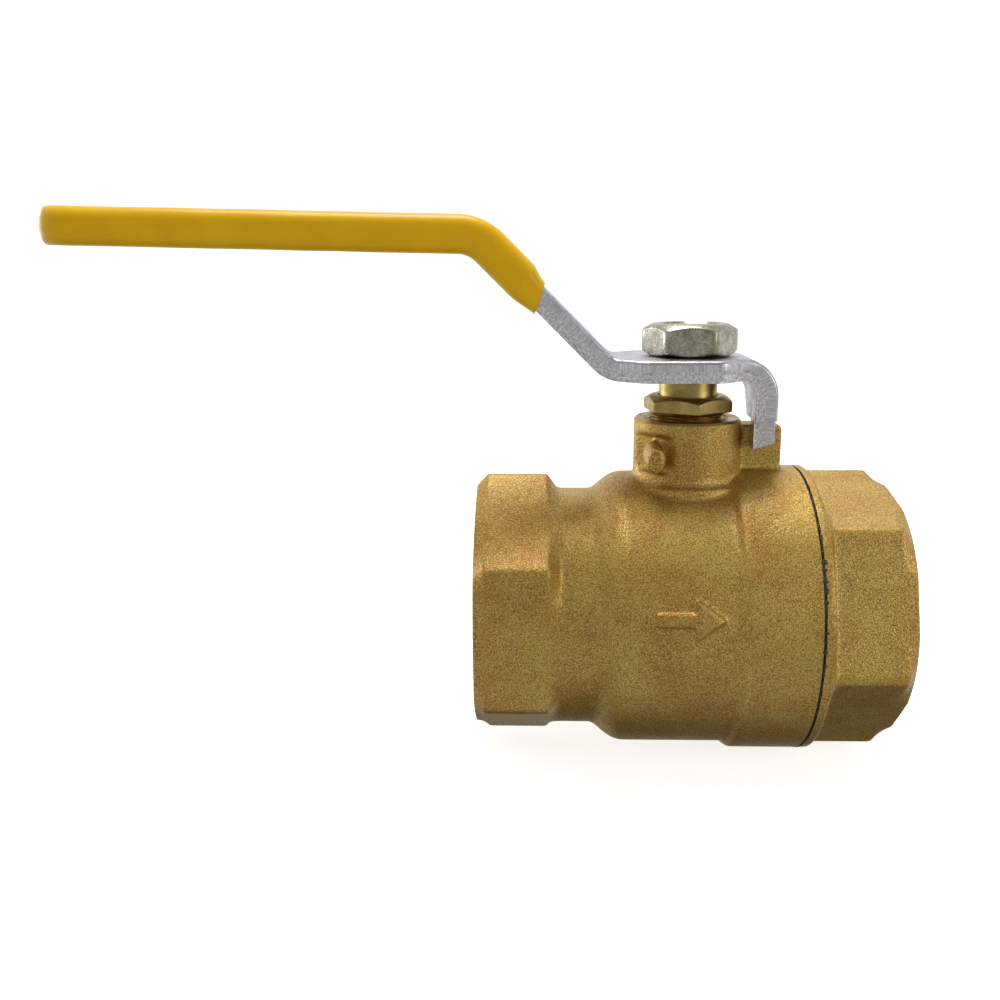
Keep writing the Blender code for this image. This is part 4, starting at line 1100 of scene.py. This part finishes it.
def plate_edges(along, x):
    """How far the plate reaches towards -Y and +Y."""
    wide = ARM
    if along < TIP_ROUND:
        wide -= TIP_ROUND * (1 - math.sqrt(max(0.0, 1 - (1 - along / TIP_ROUND) ** 2)))
    wide += (HUB - ARM) * ease(x, -(HUB_FLAT + HUB_TAPER), -HUB_FLAT)
    wide += (TAB - HUB) * ease(x, HUB_FLAT / 2, TAB_X - TAB_BEND / 2)
    front, back = wide, wide
    finger = LEVER_LENGTH - FINGER_LENGTH
    if along > finger - TAPER_LENGTH:
        back -= TAB_BACK_TAPER * min(1.0, (along - finger + TAPER_LENGTH) / TAPER_LENGTH)
    if along > finger:
        front, back = FINGER_FRONT, -(FINGER_FRONT - FINGER_WIDTH)
    return front, back


# %% [markdown]
# A punch rolls the edge over where it enters, shears it clean for about half of the thickness, and
# tears the rest, which leaves a rough band set back a little and a thin burr below. The section has
# points for each of those bands, and a noise moves the points of the torn band in and out.

# %% The lever's section
HALF = PLATE / 2
ROLL, TEAR_FROM, TEAR_BACK, BURR = 1.0, 0.1, 0.38, 0.12
ACROSS = 12
ROLL_STEPS, SHEAR_STEPS, TEAR_STEPS = 5, 3, 6


def cut_side(reach_out, side, along):
    """Points down one cut edge, from the plate's upper face to its lower face, as (y, height, band)."""
    points = []
    for k in range(ROLL_STEPS):
        a = math.pi / 2 * k / (ROLL_STEPS - 1)
        points.append((reach_out - ROLL * (1 - math.sin(a)), HALF - ROLL * 0.8 * (1 - math.cos(a)), 0))
    top = HALF - ROLL * 0.8
    for k in range(1, SHEAR_STEPS + 1):
        high = top + (TEAR_FROM - top) * k / SHEAR_STEPS
        lines = 0.035 * noise.noise(Vector((along * 2.6, side * 9.0, high * 0.3)))
        points.append((reach_out + lines, high, 1))
    tear_end = -HALF + BURR
    for k in range(1, TEAR_STEPS + 1):
        high = TEAR_FROM + (tear_end - TEAR_FROM) * k / TEAR_STEPS
        back = TEAR_BACK * (0.55 + 0.45 * k / TEAR_STEPS)
        wobble = 0.22 * noise.fractal(Vector((along * 1.1, side * 5.0, high * 1.3)), 0.7, 2.2, 3)
        points.append((reach_out - back + wobble, high, 2))
    points.append((reach_out - TEAR_BACK * 0.8, -HALF, 2))
    return [(side * y, high, band) for y, high, band in points]


def flat_face(start, end, high):
    """Points across a face of the plate, from one cut edge to the other."""
    shares = [k / ACROSS for k in range(1, ACROSS)]
    return [(start[0] * (1 - share) + end[0] * share, high, 0) for share in shares]


def lever_section(along, point, up):
    front, back = plate_edges(along, point.x)
    front_side = cut_side(front, -1, along)
    back_side = cut_side(back, 1, along)
    outline = front_side + flat_face(front_side[-1], back_side[-1], -HALF)
    outline += back_side[::-1] + flat_face(back_side[0], front_side[0], HALF)
    ring = [(point.x + up.x * high, y, point.y + up.y * high) for y, high, _ in outline]
    return ring, [(along, high) for _, high, _ in outline], [band for _, _, band in outline]


# %% Bend the lever
step_at = LEVER_LENGTH - FINGER_LENGTH
STEP_ROOM, STEP_NUDGES = 0.4, (-0.18, -0.02, 0.02, 0.18)  # sections set close on both sides of the step
stations = [s for s in lever_line if abs(s[0] - step_at) > STEP_ROOM]
straight_down = lever_line[-1]
for nudge in STEP_NUDGES:
    place = straight_down[1] + Vector((0.0, FINGER_LENGTH - nudge))
    stations.append((step_at + nudge, place, straight_down[2]))
stations.sort(key=lambda s: s[0])
sections = [lever_section(*s) for s in stations]
END_SLANT = 0.32  # the finger was cut off on a slant, its inner edge lower
sections[-1][0][:] = [(x, y, z + END_SLANT * (x - TAB_X)) for x, y, z in sections[-1][0]]
points, faces = skin([ring for ring, _, _ in sections])
unwrapped = [uv for _, places, _ in sections for uv in places]
bands = []
for _, _, marks in sections[:-1]:
    bands += [max(marks[j], marks[(j + 1) % len(marks)]) for j in range(len(marks))]
TORN = 2
bands += [TORN, TORN]
lever = make_object("lever_plate", points, faces, [PLATE_ZINC, SHEARED_ZINC, TORN_ZINC], bands, unwrapped)
hole, flat = THREAD + GAP * 0.6, STEM_FLAT + GAP * 0.5
outline = []
for step in range(ROUND):
    a = math.tau * step / ROUND
    outline.append((hole * math.cos(a), max(-flat, min(flat, hole * math.sin(a)))))
hole_tool = [[(x, y, z) for x, y in outline] for z in (PLATE_BOTTOM - 1, PLATE_TOP + 1)]
cut(lever, make_object("lever_hole", *skin(hole_tool), [PLATE_ZINC]))
shade(lever, 42)
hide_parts("lever")
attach(lever, "lever_assembly")
print("lever:", len(lever.data.polygons), "faces")

# %% [markdown]
# ## The grip
#
# The grip is a skin of vinyl. It follows the plate, is thicker and rounder round the edges, closes in a
# blunt nose past the plate's end, and thins out on the rising part, where it was cut on a slant. The
# sections go down the outside and come back along the inside, so the skin has a real wall.

# %% Dip the grip
WALL = 1.45
SLEEVE_ROUND, INNER_ROUND, NOSE_ROUND, SNUG = 3.2, 0.9, 2.9, 0.08
BARE_RISER = 20.9  # from the lower bend's corner to the grip, up the riser
CUT_SLANT, SLANT_LENGTH = 0.49, 8.0
THIN_LENGTH, THIN_WALL = 6.0, 0.75
QUARTER_STEPS = 6
bend_turn = math.radians(RISER + SLOPE)
riser_length = RISE / math.sin(math.radians(RISER))
line_to_bend = (upper_bend - line_corners[0]).length
setback = BENDS[0] * math.tan(bend_turn / 2)
sleeve_end = line_to_bend - 2 * setback + BENDS[0] * bend_turn + riser_length - BARE_RISER


def sleeve_ring(along, point, up, wide, thick, corner, slant=0.0):
    """A rounded oblong across the lever, leaned along the lever by the slant."""
    way = Vector((up.y, -up.x))
    corner = min(corner, thick * 0.97)
    ring = []
    for quarter in range(4):
        side = 1 if quarter in (0, 3) else -1
        lift = 1 if quarter in (0, 1) else -1
        for step in range(QUARTER_STEPS + 1):
            a = math.pi / 2 * (quarter + step / QUARTER_STEPS)
            y = side * (wide - corner) + corner * math.cos(a)
            high = lift * (thick - corner) + corner * math.sin(a)
            swell = 0.07 * noise.noise(Vector((along * 0.09, y * 0.12, high * 0.3 + 4.0)))
            where = point + up * (high * (1 + swell / thick)) - way * (slant * high)
            ring.append((where.x, y * (1 + swell / wide), where.y))
    return ring


def arc_in(along, radius):
    return radius - math.sqrt(max(0.0, radius**2 - max(0.0, radius - along) ** 2))


def grip_size(into, thinned=0.0):
    """Half the grip's width and half its thickness, that far in from its nose."""
    wide = ARM + nose - arc_in(into, TIP_ROUND + nose) - thinned
    return wide, HALF + nose - arc_in(into + 0.15, NOSE_ROUND) - thinned


outside, inside = [], []
nose, NOSE_STEPS = GAP + WALL, 9
_, tip, up = lever_line[0]
way = Vector((up.y, -up.x))
for k in range(1, NOSE_STEPS):
    past = nose * (1 - k / NOSE_STEPS)
    wide, thick = grip_size(nose - past)
    outside.append(sleeve_ring(-past, tip - way * past, up, wide, thick, SLEEVE_ROUND))
for along, point, up in [s for s in lever_line if s[0] < sleeve_end]:
    thinned = ease(along, sleeve_end - THIN_LENGTH, sleeve_end) * (WALL + GAP - THIN_WALL)
    wide, thick = grip_size(nose + along, thinned)
    slant = CUT_SLANT * ease(along, sleeve_end - SLANT_LENGTH, sleeve_end)
    outside.append(sleeve_ring(along, point, up, wide, thick, SLEEVE_ROUND - thinned, slant))
    inner_wide = ARM + SNUG - arc_in(along, TIP_ROUND)
    inside.append(sleeve_ring(along, point, up, inner_wide, HALF + SNUG, INNER_ROUND, slant))
tip_up = lever_line[0][2]
inside[0] = sleeve_ring(0.0, tip - way * 0.1, tip_up, ARM - TIP_ROUND + 0.5, HALF + SNUG, INNER_ROUND)
grip = make_object("grip_dipped", *skin(outside + inside[::-1]), [VINYL])
shade(grip, 50)
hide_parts("grip_sleeve")
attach(grip, "lever_assembly")
print("grip:", len(grip.data.polygons), "faces, ends", round(sleeve_end, 1), "mm along the lever")

# %% [markdown]
# ## Floor and light
#
# The valve lies on a plain pale floor that curves up all round like a bowl, so there is no horizon from
# any side. Metal shows its surroundings more than its own colour. So the room is bright behind the
# valve and dim in front, a little more so to the right, and dimmer again straight overhead. Below, the
# floor in front gives light back and the floor under the valve gives none.

# %% The floor
FLOOR = (-COLLAR - 0.15) * MM
BOWL_FLAT, BOWL_BEND, BOWL_HIGH, BOWL_STEPS = 900.0, 600.0, 1500.0, 12
bowl_outline = [(1.0, FLOOR / MM), (BOWL_FLAT, FLOOR / MM)]
for step in range(1, BOWL_STEPS + 1):
    lean = math.radians(90 * step / BOWL_STEPS)
    out, up = BOWL_BEND * math.sin(lean), BOWL_BEND * (1 - math.cos(lean))
    bowl_outline.append((BOWL_FLAT + out, FLOOR / MM + up))
bowl_outline.append((BOWL_FLAT + BOWL_BEND, BOWL_HIGH))
spins = [math.tau * i / ROUND for i in range(ROUND)]
bowl_rings = [[(r * math.cos(a), r * math.sin(a), z) for a in spins] for r, z in bowl_outline]
points, faces = skin(bowl_rings)
floor_paint, _, shader = start_finish("floor_paint", 0.0, 0.9, Emission_Color=(1.0, 1.0, 1.0, 1.0))
shader.inputs["Base Color"].default_value = (0.72, 0.72, 0.72, 1.0)
shader.inputs["Emission Strength"].default_value = 0.78
floor = make_object("floor", points, faces[:-1], [floor_paint])
floor.data.shade_smooth()
floor.visible_glossy = False
floor.visible_diffuse = False

# %% The soft boxes and the room
def softbox(name, place, size, power, aim=(0.0, 0.0, 0.02)):
    lamp = bpy.data.lights.new(name, "AREA")
    lamp.shape = "RECTANGLE"
    lamp.size, lamp.size_y = size
    lamp.energy = power
    box = bpy.data.objects.new(name, lamp)
    bpy.context.scene.collection.objects.link(box)
    box.location = place
    box.rotation_euler = (Vector(aim) - Vector(place)).to_track_quat("-Z", "Y").to_euler()


def grey(level):
    return (level, level, level)


softbox("light_above", (-0.08, 0.14, 0.6), (0.34, 0.24), 2.4)
softbox("light_behind_left", (-0.6, 0.38, 0.13), (0.3, 0.3), 0.9)
softbox("light_right", (0.5, -0.35, 0.22), (0.2, 0.35), 0.7)

room = bpy.data.worlds.new("room")
bpy.context.scene.world = room
room.use_nodes = True
tree = room.node_tree
where = tree.nodes.new("ShaderNodeTexCoord")
split = tree.nodes.new("ShaderNodeSeparateXYZ")
tree.links.new(where.outputs["Generated"], split.inputs["Vector"])
below = stretch_range(tree, split.outputs["Z"], -0.9, -0.45)
under = stretch_range(tree, split.outputs["Y"], -0.6, 0.0)
overhead = stretch_range(tree, split.outputs["Z"], 0.35, 0.95)
behind = stretch_range(tree, split.outputs["Y"], -0.5, 0.35)
rightward = stretch_range(tree, split.outputs["X"], -0.7, 0.7)
front_tone = blend_colours(tree, rightward, grey(0.46), grey(0.36))
level_tone = blend_colours(tree, behind, front_tone, grey(0.85))
from_floor = blend_colours(tree, under, grey(1.7), grey(0.0))
from_below = blend_colours(tree, below, from_floor, grey(1.0))
tone = blend_colours(tree, overhead, from_below, grey(0.6))
product = tree.nodes.new("ShaderNodeMix")
product.data_type = "RGBA"
product.blend_type = "MULTIPLY"
product.inputs["Factor"].default_value = 1.0
tree.links.new(tone, product.inputs[6])
tree.links.new(level_tone, product.inputs[7])
tree.links.new(product.outputs[2], tree.nodes["Background"].inputs["Color"])
tree.nodes["Background"].inputs["Strength"].default_value = 1.0
bpy.context.scene.view_settings.view_transform = "Standard"
